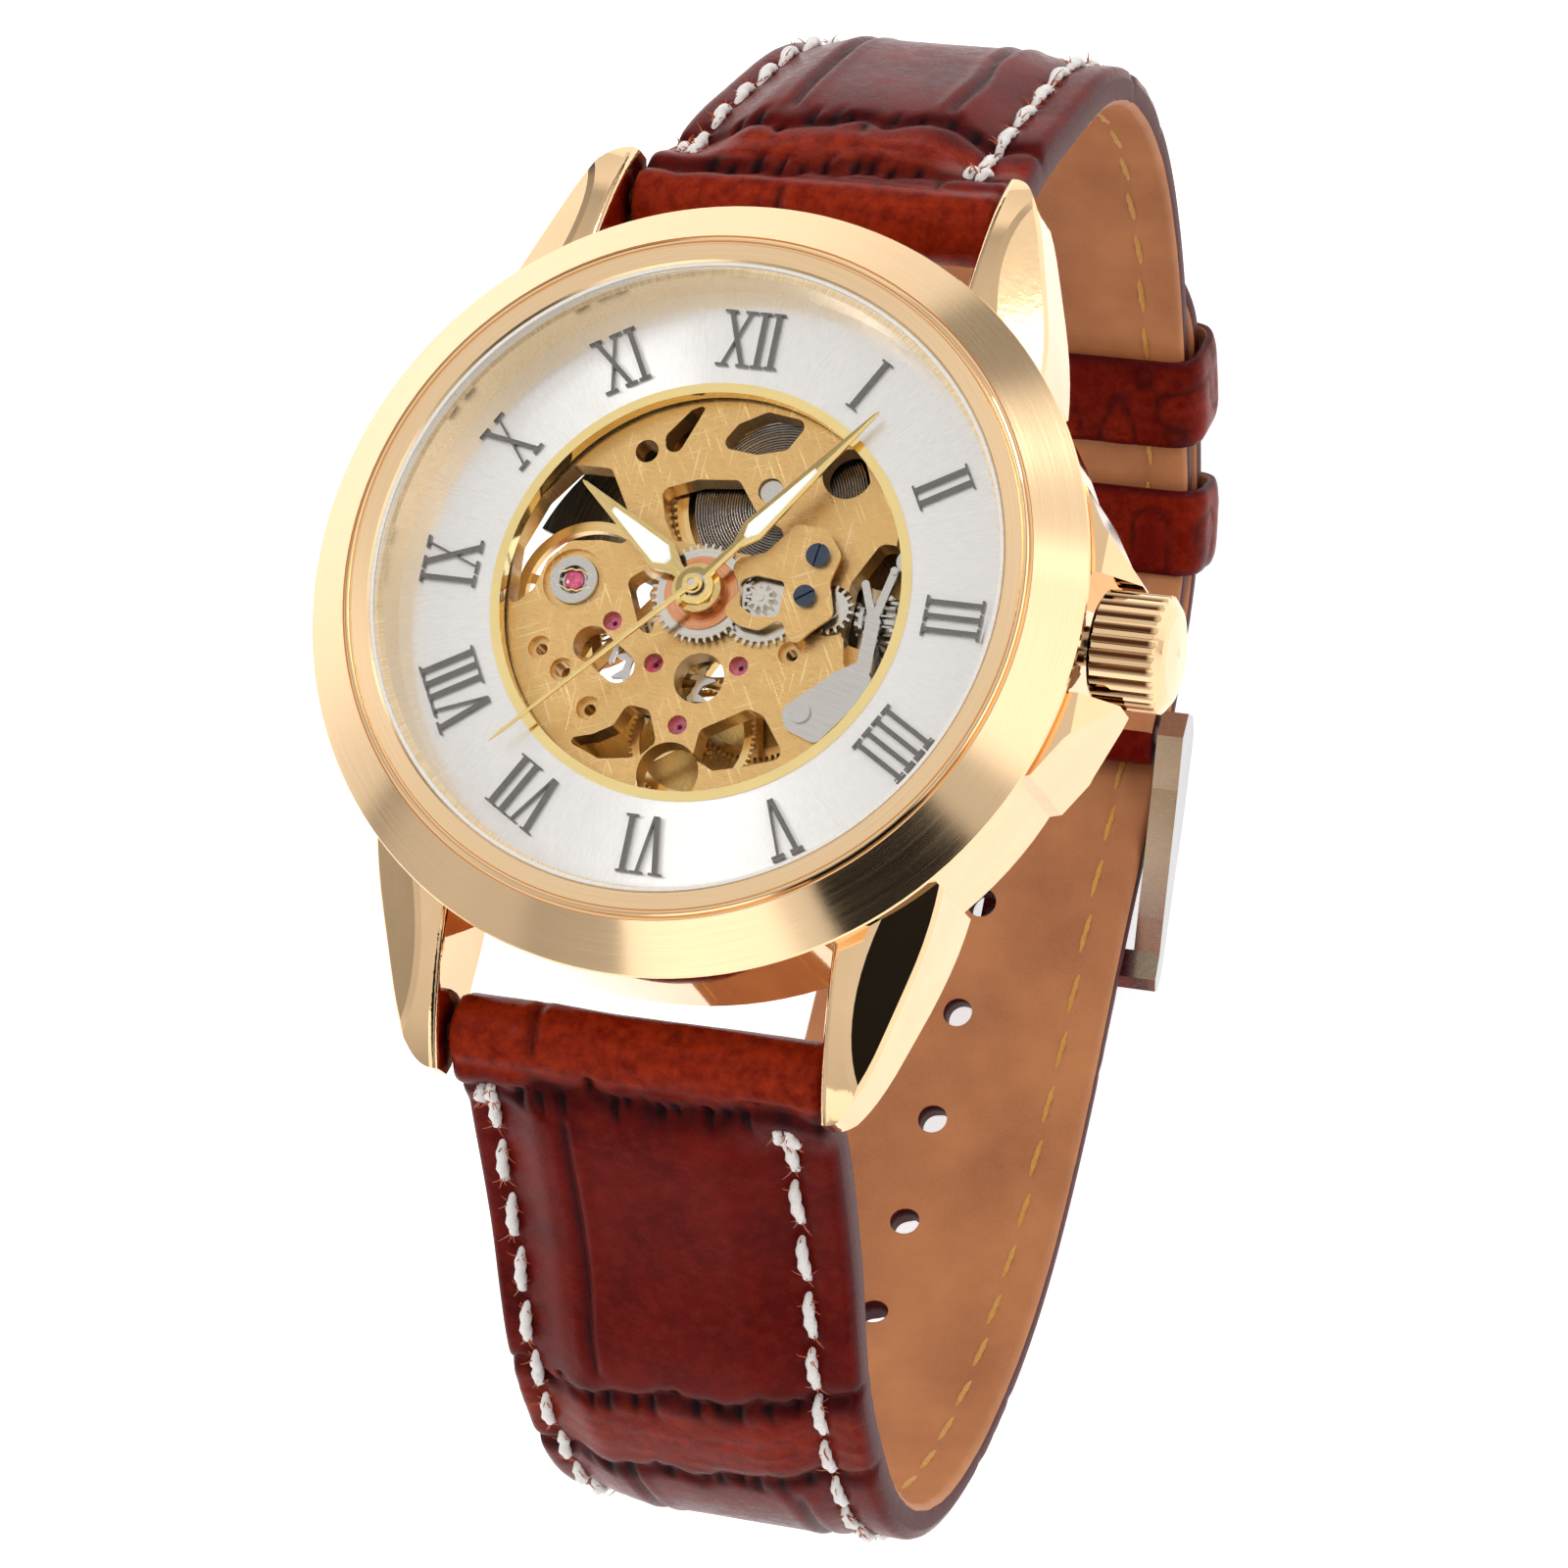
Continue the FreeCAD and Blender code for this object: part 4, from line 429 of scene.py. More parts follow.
def leather():
    """Glazed embossed leather: wine-dark scales, orange where it is worn, and painted shade that darkens
    the creases.
    """
    paint = Paint("embossed_leather", srgb(104, 22, 16), 0.0, 0.28, IOR=1.3, Specular_IOR_Level=0.12)
    place = paint.place()
    crease_shade, warm, edge = (paint.attribute(name) for name in ("crease_shade", "warm", "edge"))
    cloud = paint.noise(place, 0.28, 3.0, 0.6)
    blotch = paint.noise(place, 1.3, 4.0, 0.65)
    grain = paint.noise(place, 14.0, 3.0, 0.6)
    pores = paint.cells(place, 7.0)
    deep = paint.between(cloud, srgb(76, 5, 3), srgb(108, 15, 6))
    deep = paint.mix(paint.remap(blotch, 0.45, 0.75, 0.0, 0.5), deep, srgb(122, 30, 14))
    orange = paint.between(blotch, srgb(104, 18, 7), srgb(152, 44, 15))
    tone = paint.mix(warm, deep, orange)
    tone = paint.mix(paint.remap(pores, 0.0, 0.3, 0.14, 0.0), tone, srgb(60, 8, 8))
    # Painted shade: the creases, grooves, notches and other dips are darkened to near black.
    tone = paint.mix(crease_shade, tone, srgb(22, 3, 8))
    tone = paint.mix(paint.math("MULTIPLY", edge, 0.85), tone, srgb(70, 14, 18))
    paint.set("Base Color", tone)
    worn = paint.remap(blotch, 0.3, 0.7, 0.2, 0.36)
    paint.set("Roughness", paint.math("ADD", worn, paint.math("MULTIPLY", crease_shade, 0.1)))
    paint.bump(pores, 0.03, 0.25)
    paint.bump(grain, 0.02, 0.4)
    paint.bump(blotch, 0.05, 0.35)
    return paint.material


def lining_leather():
    """Plain tan leather with a fine grain."""
    paint = Paint("lining_leather", srgb(186, 118, 68), 0.0, 0.55, Specular_IOR_Level=0.3)
    place = paint.place()
    cloud = paint.noise(place, 0.16, 3.0, 0.55)
    grain = paint.noise(place, 9.0, 4.0, 0.65)
    fold = paint.attribute("crease_shade")
    tone = paint.between(cloud, srgb(160, 98, 62), srgb(192, 126, 80))
    tone = paint.mix(paint.remap(grain, 0.35, 0.75, 0.0, 0.3), tone, srgb(206, 150, 100))
    # Painted shade: the lining is darkened wherever the creases' shade mask reaches it.
    tone = paint.mix(fold, tone, srgb(92, 46, 26))
    paint.set("Base Color", tone)
    paint.rough(grain, 0.45, 0.62)
    paint.bump(grain, 0.02, 0.45)
    return paint.material


def thread(name, colour, dark):
    """Waxed thread, with painted shade between its fibres: the low parts of its bump take the darker
    tone.
    """
    return mottled(name, colour, (dark, colour), 0.6, (12.0, 4.0, 0.7), (0.03, 0.6), Sheen_Weight=0.3)


def edge_paint():
    """The dark, slightly lumpy paint on the strap's cut edges."""
    tones = srgb(48, 10, 14), srgb(92, 24, 24)
    return mottled("painted_edge", srgb(70, 24, 30), tones, 0.5, (5.0, 3.0), (0.04, 0.5),
                   Specular_IOR_Level=0.15)


# ---------------------------------------------------------------- mesh kit

class Field:
    """Smooth random values over a surface, the same on every run."""

    def __init__(self, seed, step_along, step_across):
        self.table = np.random.default_rng(seed).uniform(-1, 1, (97, 97))
        self.steps = step_along, step_across

    def at(self, along, across):
        a, b = np.broadcast_arrays(along / self.steps[0], across / self.steps[1])
        i, j = np.floor(a).astype(int), np.floor(b).astype(int)
        f, g = a - i, b - j
        f, g = f * f * (3 - 2 * f), g * g * (3 - 2 * g)
        size = len(self.table)
        here, there = i % size, (i + 1) % size
        low, high = j % size, (j + 1) % size
        near = self.table[here, low] * (1 - g) + self.table[here, high] * g
        far = self.table[there, low] * (1 - g) + self.table[there, high] * g
        return near * (1 - f) + far * f


def step_up(value, low, high):
    share = np.clip((value - low) / (high - low), 0, 1)
    return share * share * (3 - 2 * share)


def hump(value, width):
    return np.exp(-(value / width) ** 2)


def smooth_line(points):
    """A natural cubic spline through the points, finely sampled."""
    knots = np.array(points, float)
    chord = np.r_[0, np.cumsum(np.linalg.norm(np.diff(knots, axis=0), axis=1))]
    gaps = np.diff(chord)
    total = len(knots)
    system, right = np.eye(total), np.zeros((total, 2))
    for i in range(1, total - 1):
        system[i, i - 1:i + 2] = gaps[i - 1], 2 * (gaps[i - 1] + gaps[i]), gaps[i]
        right[i] = 6 * ((knots[i + 1] - knots[i]) / gaps[i] - (knots[i] - knots[i - 1]) / gaps[i - 1])
    bend = np.linalg.solve(system, right)
    at = np.linspace(0, chord[-1], LINE_SAMPLES)
    k = np.clip(np.searchsorted(chord, at, side="right") - 1, 0, total - 2)
    a, b, gap = (chord[k + 1] - at)[:, None], (at - chord[k])[:, None], gaps[k][:, None]
    curve = bend[k] * a ** 3 / (6 * gap) + bend[k + 1] * b ** 3 / (6 * gap)
    curve = curve + (knots[k] / gap - bend[k] * gap / 6) * a
    return curve + (knots[k + 1] / gap - bend[k + 1] * gap / 6) * b


class Path:
    """A line in the YZ plane measured along its length in millimetres, with its outward side."""

    def __init__(self, line, start=0.0):
        self.line = line
        self.reach = start + np.r_[0, np.cumsum(np.linalg.norm(np.diff(line, axis=0), axis=1))]
        along = np.gradient(line, axis=0)
        along /= np.linalg.norm(along, axis=1)[:, None]
        outward = np.stack([along[:, 1], -along[:, 0]], axis=1)
        middle = len(line) // 2
        if np.dot(outward[middle], line[middle] - LOOP_MIDDLE) < 0:
            outward = -outward
        self.outward = outward
        self.end = self.reach[-1]

    def at(self, along):
        place = np.stack([np.interp(along, self.reach, self.line[:, k]) for k in (0, 1)], axis=-1)
        outward = np.stack([np.interp(along, self.reach, self.outward[:, k]) for k in (0, 1)], axis=-1)
        return place, outward / np.linalg.norm(outward, axis=-1, keepdims=True)

    def nearest(self, point):
        return self.reach[np.argmin(np.linalg.norm(self.line - np.array(point), axis=1))]


LINE_SAMPLES = 4000
LOOP_MIDDLE = np.array([0.0, -25.0])
UPPER_POINTS = [
    (22.4, 3.9), (24.7, 2.5), (27.8, 0.6), (31.3, -2.6), (34.8, -6.9), (37.8, -11.2), (39.9, -16.4),
    (40.6, -22.5), (39.9, -28.5), (37.7, -34.5), (34.6, -39.6), (31.3, -43.6), (27.8, -47.3),
    (23.6, -50.6), (19.2, -52.0), (15.2, -52.35), (11.3, -52.7),
]
LOWER_POINTS = [
    (-22.4, 3.9), (-24.7, 2.1), (-28.3, -2.2), (-32.5, -7.6), (-36.3, -12.0), (-39.2, -17.5),
    (-41.2, -24.5), (-40.7, -31.0), (-37.7, -37.6), (-32.2, -43.8), (-24.5, -49.0), (-17.0, -51.5),
    (-10.0, -52.7), (-4.0, -53.25), (1.0, -53.75), (6.0, -54.4), (11.3, -54.75), (15.2, -54.6),
    (19.2, -54.25),
]
TAIL_POINTS = [(23.6, -50.6), (27.8, -47.3), (31.3, -43.6), (34.6, -39.6), (37.0, -36.0)]
WIDE, NARROW = 19.8, 18.0
THICK, THIN = 3.9, 1.9
LAYER_GAP = 0.28
BAR_REACH, BAR_HEIGHT = 22.4, 2.0
ROLL_RADIUS = 1.9
BALANCE_PLACE = (-7.0, 0.1)


def with_tail(upper):
    """The lower piece's points, carried on outside the upper piece to the strap's tip."""
    points = list(LOWER_POINTS)
    for near in TAIL_POINTS:
        place, outward = upper.at(upper.nearest(near))
        points.append(tuple(place + outward * (THIN + LAYER_GAP)))
    return points


def rolled(line, centre, radius, leave, finish):
    """The line from where it leaves a roll round a bar, led back round the roll to an angle."""
    plain = Path(line)
    place = plain.at(leave)[0]
    first = math.atan2(place[1] - centre[1], place[0] - centre[0])
    side = 1 if centre[0] > 0 else -1
    turn = (finish - math.degrees(first)) * side
    turn = math.radians(turn % 360) * side
    distance = np.linalg.norm(place - centre)
    share = np.linspace(1, 0, 400)
    angle = first + turn * share
    reach = distance + (radius - distance) * step_up(share, 0.0, 0.12)
    arc = np.stack([centre[0] + reach * np.cos(angle), centre[1] + reach * np.sin(angle)], axis=1)
    rest = line[plain.reach > leave]
    joined = np.concatenate([arc, rest])
    lengths = np.r_[0, np.cumsum(np.linalg.norm(np.diff(joined, axis=0), axis=1))]
    back = lengths[len(arc) - 1]
    return joined, leave - back


# ---------------------------------------------------------------- embossed strap surface

STITCH_PITCH = 3.6
STITCH_LONG = 2.95
STITCH_RADIUS = 0.36
LINING_STITCH_RADIUS = 0.2
FIBRES = 8
SKEW = np.array([0.57, 0.57, 0.59])
EDGE_ROUND = 0.6
STATION = 0.25
COLUMNS = 80
HOLE_CELLS = 4


def inset(across):
    """How far in from the edge the stitches run: a little further on the crown side."""
    return np.where(across < 0, 1.6, 2.3)


class Emboss:
    """The relief of one strap piece: padding, creases, grooves, notches and stitch dips."""

    def __init__(self, seed, taper, creases, bands, grooves, stitches):
        self.taper, self.creases, self.bands, self.grooves = taper, creases, bands, grooves
        self.first_stitch, self.last_stitch = stitches
        self.wander = Field(seed, 5.0, 2.3)
        self.fray = Field(seed + 1, 0.9, 0.6)
        self.wrinkle = Field(seed + 2, 0.5, 2.4)
        self.swell = Field(seed + 3, 7.0, 5.0)
        chance = np.random.default_rng(seed + 4)
        self.notches = []
        for start, slant, depth, _ in creases:
            for x in np.arange(-6.4, 6.8, 1.25):
                across = x + chance.uniform(-0.4, 0.4)
                long = chance.uniform(0.8, 2.3) * (1 if chance.uniform() < 0.8 else -1)
                deep = depth * chance.uniform(0.4, 1.0)
                self.notches.append((across, start + slant * across / 9, long, deep))

    def thickness(self, along, length):
        return THICK + (THIN - THICK) * step_up(np.clip(along / length, 0, 1), *self.taper)

    def at(self, along, across, half, length):
        """Height in millimetres over the nominal outer skin, with the mask of painted shade for the
        creases, and the warm and edge masks.
        """
        from_edge = half - np.abs(across)
        row = from_edge - inset(across)
        thickness = self.thickness(along, length)
        soft = step_up(along, 2.6, 6.0)
        padded = step_up(row, 0.1, 3.4)
        drop = thickness - np.maximum(2.2 - 0.3 * step_up(along, 10, 60), 0.62 * thickness)
        valley = hump(row, 0.55) * soft
        height = -drop * soft * (1 - padded) - 0.16 * valley
        rounding = np.clip(EDGE_ROUND - from_edge, 0, EDGE_ROUND)
        height = height - (EDGE_ROUND - np.sqrt(EDGE_ROUND ** 2 - rounding ** 2))
        ragged = 0.5 * self.fray.at(along * 0.5, across) + 0.5 * self.wander.at(along, across)
        warm = 0.0 * along
        for low, high, amount in self.bands:
            begun = step_up(along + ragged, low - 0.7, low + 0.7)
            over = step_up(along + ragged, high - 0.8, high + 0.8)
            warm = warm + amount * (begun - over)
        # Painted shade: this mask darkens the leather along the stitch-row valley and in the creases,
        # grooves and notches below.
        crease_shade = 0.2 * valley
        for start, slant, depth, dark in self.creases:
            scallop = 0.4 * np.abs(np.sin(across * 1.15 + start))
            line = start + slant * across / 9 + 0.55 * self.wander.at(start * 7.0, across) + scallop
            gap = along - line
            height = height - depth * (0.55 * hump(gap, 0.6) + 0.45 * hump(gap, 0.22))
            crease_shade = crease_shade + dark * (0.7 + 0.3 * self.fray.at(along, across)) * hump(gap - 0.25, 1.0)
        for left, right, first, last, depth in self.grooves:
            share = (along - first) / (last - first)
            window = step_up(along, first, first + 1.5) * (1 - step_up(along, last - 1.5, last))
            drift = across - left - (right - left) * share - 0.25 * self.wander.at(along, left)
            banks = 0.4 * hump(np.abs(drift) - 0.55, 0.35)
            height = height - window * depth * (hump(drift, 0.24) - banks)
            crease_shade = crease_shade + 0.75 * window * hump(drift, 0.22)
        for x, start, long, depth in self.notches:
            reach = (along - start) / long
            window = step_up(reach, 0.0, 0.15) * (1 - step_up(reach, 0.4, 1.0))
            dent = window * hump(across - x - 0.2 * reach, 0.2)
            height = height - depth * dent
            crease_shade = crease_shade + 0.8 * dent
        warm = np.clip(warm, 0, 1)
        height = height + 0.05 * self.wrinkle.at(along, across) * warm
        height = height + 0.06 * self.swell.at(along, across) * padded
        phase = (along - self.first_stitch) / STITCH_PITCH
        near = (phase - np.round(phase)) * STITCH_PITCH
        sewn = step_up(along, self.first_stitch - 0.6, self.first_stitch - 0.3) * (
            1 - step_up(along, self.last_stitch, self.last_stitch + 0.4))
        height = height - 0.2 * sewn * hump(near, 0.4) * hump(row, 0.42)
        edge = 1 - step_up(from_edge, 0.05, 0.3)
        return height, np.clip(crease_shade, 0, 1), warm, edge


class Hole:
    """A round or long hole through a strap piece, opened in its grid of stations and columns."""

    def __init__(self, along, radius, long=0.0):
        self.along, self.radius = along, radius
        self.cells = round(long / STATION)
        self.segment = self.cells * STATION

    def warp(self, along, across, cell):
        """Grid points moved so that the block of cells round the hole fits its outline."""
        core_along = HOLE_CELLS * STATION
        core_across = HOLE_CELLS * cell
        dy = along - self.along
        nearest = np.clip(dy, -self.segment, self.segment)
        dy = dy - nearest
        block = np.maximum(np.abs(dy) / core_along, np.abs(across) / core_across)
        reach = np.hypot(dy, across)
        share = np.clip((block - 1) / 1.2, 0, 1)
        target = self.radius * (1 - share) + reach * share
        scale = np.where((block < 2.2) & (block > 0.99), target / np.maximum(reach, 1e-6), 1.0)
        return self.along + nearest + dy * scale, across * scale

    def distance(self, along, across):
        dy = along - self.along
        return np.hypot(dy - np.clip(dy, -self.segment, self.segment), across) - self.radius


class StrapPiece:
    """One strap piece as a closed skin: roll round the spring bar, outer side, tip and lining side."""

    def __init__(self, points, side, emboss, anchor, tip_bulge, tip_depth=0.0, rounded_tip=0.0):
        line = smooth_line(points)
        self.plain = Path(line)
        self.length = self.plain.end
        self.emboss = emboss
        self.tip_bulge, self.tip_depth, self.rounded_tip = tip_bulge, tip_depth, rounded_tip
        bar = np.array([side * BAR_REACH, BAR_HEIGHT])
        outside = np.linalg.norm(line - bar, axis=1) > ROLL_RADIUS + 0.02
        self.leave = self.plain.reach[np.nonzero(~outside)[0][-1]]
        joined, start = rolled(line, bar, ROLL_RADIUS, self.leave, -90)
        self.path = Path(joined, start)
        first = anchor - STATION * math.floor((anchor - self.leave) / STATION)
        self.flat = np.arange(first, self.length + STATION / 3, STATION)
        self.flat[-1] = self.length
        self.rolling = np.linspace(start, self.flat[0], 40, endpoint=False)
        self.holes = []

    def half(self, along):
        share = np.clip(along / self.length, 0, 1)
        half = (WIDE + (NARROW - WIDE) * step_up(share, 0.05, 0.7)) / 2
        if self.rounded_tip:
            over = np.clip((along - self.length + self.rounded_tip) / self.rounded_tip, 0, 0.998)
            half = half * (1 - over ** 2.6) ** 0.5
        return half

    def outer(self, along, across):
        height, *masks = self.emboss.at(along, across, self.half(along), self.length)
        for hole in self.holes:
            near = hole.distance(along, across)
            height = height - 0.22 * hump(np.maximum(near, 0), 0.35)
            # Painted shade: the shade mask is raised in the dip pressed round each hole.
            masks[0] = np.maximum(masks[0], 0.7 * hump(np.maximum(near, 0), 0.3))
        place, outward = self.path.at(along)
        point = place + outward * height[..., None]
        return np.concatenate([across[..., None], point], axis=-1), masks

    def depth(self, along):
        near_bar = 1 - step_up(along, self.leave, self.leave + 6)
        near_tip = 1 - step_up(self.length - along, 0, 4.5)
        depth = self.emboss.thickness(along, self.length)
        depth = depth - 0.7 * near_bar
        return depth + (max(self.tip_depth, THIN) - depth) * near_tip

    def inner(self, along, across, lift=0.0):
        from_edge = self.half(along) - np.abs(across)
        over = np.clip(0.35 - from_edge, 0, 0.35)
        curl = 0.35 - np.sqrt(0.35 ** 2 - over ** 2)
        groove = 0.12 * hump(from_edge - inset(across), 0.3)
        ripple = 0.04 * self.emboss.wrinkle.at(along * 0.6, across * 0.4)
        dip = 0.0
        for hole in self.holes:
            dip = dip + 0.15 * hump(np.maximum(hole.distance(along, across), 0), 0.4)
        place, outward = self.plain.at(along)
        point = place - outward * (self.depth(along) + lift - curl - groove - ripple - dip)[..., None]
        return np.concatenate([across[..., None], point], axis=-1)

    def grid(self, stations):
        """Station and column of each grid point, warped round the holes."""
        column = np.linspace(-1, 1, COLUMNS + 1)
        along = np.repeat(stations[:, None], len(column), axis=1)
        across = self.half(along) * column
        for hole in self.holes:
            along, across = hole.warp(along, across, self.half(hole.along) * 2 / COLUMNS)
        return along, across

    def skin(self):
        """Vertices, faces, each face's material and the leather masks of the closed piece."""
        around = np.concatenate([self.rolling, self.flat])
        along, across = self.grid(around)
        top, masks = self.outer(along, across)
        along_in, across_in = self.grid(self.flat)
        under = self.inner(along_in, across_in)
        last, facing = top[-1], under[-1]
        forward = self.plain.line[-1] - self.plain.line[-8]
        forward = np.array([0.0, *(forward / np.linalg.norm(forward))]) * self.tip_bulge
        angles = np.linspace(0, math.pi, 14)[1:-1]
        tip = np.stack([(last + facing) / 2 + (last - facing) / 2 * math.cos(a) + forward * math.sin(a)
                        for a in angles])
        rings = np.concatenate([top, tip, under[::-1]])
        across_count, total = COLUMNS + 1, len(rings)
        rolled_count, flat_count = len(self.rolling), len(self.flat)
        tip_end = len(top) + len(tip)
        index = np.arange(total * across_count).reshape(total, across_count)
        keep = np.ones((total, COLUMNS), bool)
        walls = []

        def under_row(k):
            return total - 1 - k

        for hole in self.holes:
            middle = round((hole.along - self.flat[0]) / STATION)
            low, high = middle - HOLE_CELLS - hole.cells, middle + HOLE_CELLS + hole.cells
            left, right = COLUMNS // 2 - HOLE_CELLS, COLUMNS // 2 + HOLE_CELLS
            keep[rolled_count + low:rolled_count + high, left:right] = False
            keep[under_row(high):under_row(low), left:right] = False
            loop = [(low, c) for c in range(left, right)] + [(r, right) for r in range(low, high)]
            loop += [(high, c) for c in range(right, left, -1)]
            loop += [(r, left) for r in range(high, low, -1)]
            upper = [index[rolled_count + r, c] for r, c in loop]
            lower = [index[under_row(r), c] for r, c in loop]
            walls += [(upper[i - 1], upper[i], lower[i], lower[i - 1]) for i in range(len(loop))]
        faces, kinds = [], []
        for r in range(total):
            after = (r + 1) % total
            for c in np.nonzero(keep[r])[0]:
                faces.append((index[r, c], index[r, c + 1], index[after, c + 1], index[after, c]))
            kinds += [1 if r >= tip_end else 0] * int(keep[r].sum())
        faces += walls
        for c in (0, COLUMNS):
            faces.append([index[r, c] for r in range(rolled_count + 1)] + [index[under_row(0), c]])
            for k in range(flat_count - 1):
                faces.append((index[rolled_count + k, c], index[rolled_count + k + 1, c],
                              index[under_row(k + 1), c], index[under_row(k), c]))
            faces.append([index[r, c] for r in range(len(top) - 1, tip_end + 1)])
        kinds += [2] * (len(faces) - len(kinds))
        spare = np.zeros((total - len(top), across_count))
        values = [np.concatenate([mask, spare]).ravel() for mask in masks]
        return rings.reshape(-1, 3) * MM, faces, kinds, dict(zip(("crease_shade", "warm", "edge"), values))


def build_mesh(name, vertices, faces, materials, body, kinds=None, attributes=None):
    """A smooth mesh object that rides on a body, with no loose points and outward normals."""
    mesh = bpy.data.meshes.new(name)
    mesh.from_pydata(vertices.tolist(), [], [[int(v) for v in face] for face in faces])
    for key, values in (attributes or {}).items():
        mesh.attributes.new(key, "FLOAT", "POINT").data.foreach_set("value", values.astype(np.float32))
    if kinds is not None:
        mesh.polygons.foreach_set("material_index", kinds)
    shell = bmesh.new()
    shell.from_mesh(mesh)
    bmesh.ops.delete(shell, geom=[v for v in shell.verts if not v.link_faces], context="VERTS")
    bmesh.ops.recalc_face_normals(shell, faces=shell.faces)
    shell.to_mesh(mesh)
    shell.free()
    mesh.polygons.foreach_set("use_smooth", [True] * len(mesh.polygons))
    for material in materials:
        mesh.materials.append(material)
    made = bpy.data.objects.new(name, mesh)
    bpy.context.scene.collection.objects.link(made)
    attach(made, body)
    return made


def strips(rings, count, closed=False):
    """Quads between successive rings of the same number of points."""
    faces = []
    for row in range(rings if closed else rings - 1):
        after = (row + 1) % rings
        for j in range(count):
            k = (j + 1) % count
            faces.append((row * count + j, row * count + k, after * count + k, after * count + j))
    return faces


def capped(rings, count):
    """Strips between the rings, with a cap over the first and the last one."""
    return strips(rings, count) + [list(range(count)), list(range((rings - 1) * count, rings * count))]


def tube(centres, sides, radius_at, across):
    """Vertices and faces of a closed tube; radius_at gives the radius for each angle and share."""
    tangent = np.gradient(centres, axis=0)
    tangent /= np.linalg.norm(tangent, axis=1)[:, None]
    second = np.cross(tangent, across)
    second /= np.linalg.norm(second, axis=1)[:, None]
    first = np.cross(second, tangent)
    turn = np.linspace(0, 2 * math.pi, sides, endpoint=False)
    share = np.linspace(0, 1, len(centres))
    radius = radius_at(turn[None, :], share[:, None])
    points = centres[:, None] + radius[..., None] * (
        first[:, None] * np.cos(turn)[None, :, None] + second[:, None] * np.sin(turn)[None, :, None])
    return points.reshape(-1, 3), capped(len(centres), sides)


def gather(parts):
    """Several (vertices, faces) parts as one."""
    vertices, faces, base = [], [], 0
    for points, rows in parts:
        vertices.append(points)
        faces += [[v + base for v in row] for row in rows]
        base += len(points)
    return np.concatenate(vertices), faces


def two_ply(radius, turns):
    """The radius of a twisted two-ply thread that thins out at both ends."""
    def radius_at(turn, share):
        ply = 0.86 + 0.14 * np.cos(2 * (turn - 2 * math.pi * turns * share))
        return radius * ply * (0.55 + 0.45 * np.clip(np.sin(math.pi * share), 0, 1) ** 0.5)
    return radius_at


def tapering(turn, share):
    """The radius of a loose fibre, from its root to its point."""
    return 0.05 * (1.25 - share) + 0 * turn


def even(radius):
    """The radius of a plain wire."""
    return lambda turn, share: radius + 0 * turn + 0 * share


def stitch_row(piece, side, first, last, inside, chance):
    """The stitches along one edge, and the loose fibres where the thread goes in."""
    threads, fibres = [], []
    starts = np.arange(first + 0.3, last - STITCH_PITCH + 0.5, STITCH_PITCH)
    runs = [(start, STITCH_LONG, 0.0) for start in starts]
    if not inside:
        runs += [(first - 0.5, 1.5, 0.28), (first - 0.35, 1.4, -0.3)]
    for start, long, shift in runs:
        share = np.linspace(0, 1, 13)
        along = start + chance.uniform(-0.12, 0.12) + long * share
        row = side * (piece.half(along) - inset(np.full_like(along, side)))
        across = row + shift + chance.uniform(-0.08, 0.08) + side * 0.22 * (share - 0.5)
        arch = np.clip(np.sin(math.pi * share), 0, 1) ** 0.6
        if inside:
            centres = piece.inner(along, across, lift=-0.25 + 0.27 * arch)
            radius = LINING_STITCH_RADIUS
        else:
            centres = piece.outer(along, across)[0]
            outward = piece.path.at(along)[1]
            centres[:, 1:] += outward * (-0.38 + 0.66 * arch)[:, None]
            radius = STITCH_RADIUS
            for end in (0, -1):
                root = centres[2 if end == 0 else -3]
                for _ in range(FIBRES):
                    sweep = chance.uniform(-1, 1, 3)
                    reach = np.linspace(0, 1, 5)[:, None]
                    lift = np.array([0.0, *outward[end]])
                    hair = root + reach * (0.75 * sweep + 0.45 * lift) - reach ** 2 * 0.5 * lift
                    fibres.append(tube(hair, 3, tapering, SKEW))
        threads.append(tube(centres, 12, two_ply(radius, 1.6 * long / 3), np.array([1.0, 0.0, 0.0])))
    return threads, fibres


def dress_strap(name, piece, node, materials):
    """The leather skin of one strap piece with its threads."""
    chance = np.random.default_rng(len(node) * 7 + 1)
    vertices, faces, kinds, masks = piece.skin()
    leather_skin = build_mesh(name, vertices, faces, materials[:3], "watch", kinds, masks)
    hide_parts(node)
    outside, inside, hairs = [], [], []
    first, last = piece.emboss.first_stitch, piece.emboss.last_stitch
    for side in (-1, 1):
        threads, fibres = stitch_row(piece, side, first, last, False, chance)
        outside += threads
        hairs += fibres
        inside += stitch_row(piece, side, first + 1.0, last, True, chance)[0]
    rows_of_thread = (("stitches", outside, materials[3]), ("lining_stitches", inside, materials[4]),
                      ("fibres", hairs, materials[5]))
    for label, parts, material in rows_of_thread:
        points, rows = gather(parts)
        build_mesh(f"{name}_{label}", points * MM, rows, [material], "watch")


def rounded_loop(half_width, low, high, radius):
    """A closed rounded rectangle in (across, outward), anticlockwise."""
    centres = ((half_width - radius, high - radius, 0), (-half_width + radius, high - radius, 90),
               (-half_width + radius, low + radius, 180), (half_width - radius, low + radius, 270))
    points = []
    for x, y, start in centres:
        for turn in np.linspace(0, 90, 9):
            angle = math.radians(start + turn)
            points.append((x + radius * math.cos(angle), y + radius * math.sin(angle)))
    return np.array(points)


def spaced(loop, step):
    """The closed loop with points about a step apart, and each point's outward normal."""
    closed = np.vstack([loop, loop[:1]])
    reach = np.r_[0, np.cumsum(np.linalg.norm(np.diff(closed, axis=0), axis=1))]
    at = np.linspace(0, reach[-1], int(reach[-1] / step), endpoint=False)
    points = np.stack([np.interp(at, reach, closed[:, k]) for k in (0, 1)], axis=1)
    along = np.roll(points, -1, axis=0) - np.roll(points, 1, axis=0)
    along /= np.linalg.norm(along, axis=1)[:, None]
    return points, np.stack([along[:, 1], -along[:, 0]], axis=1)


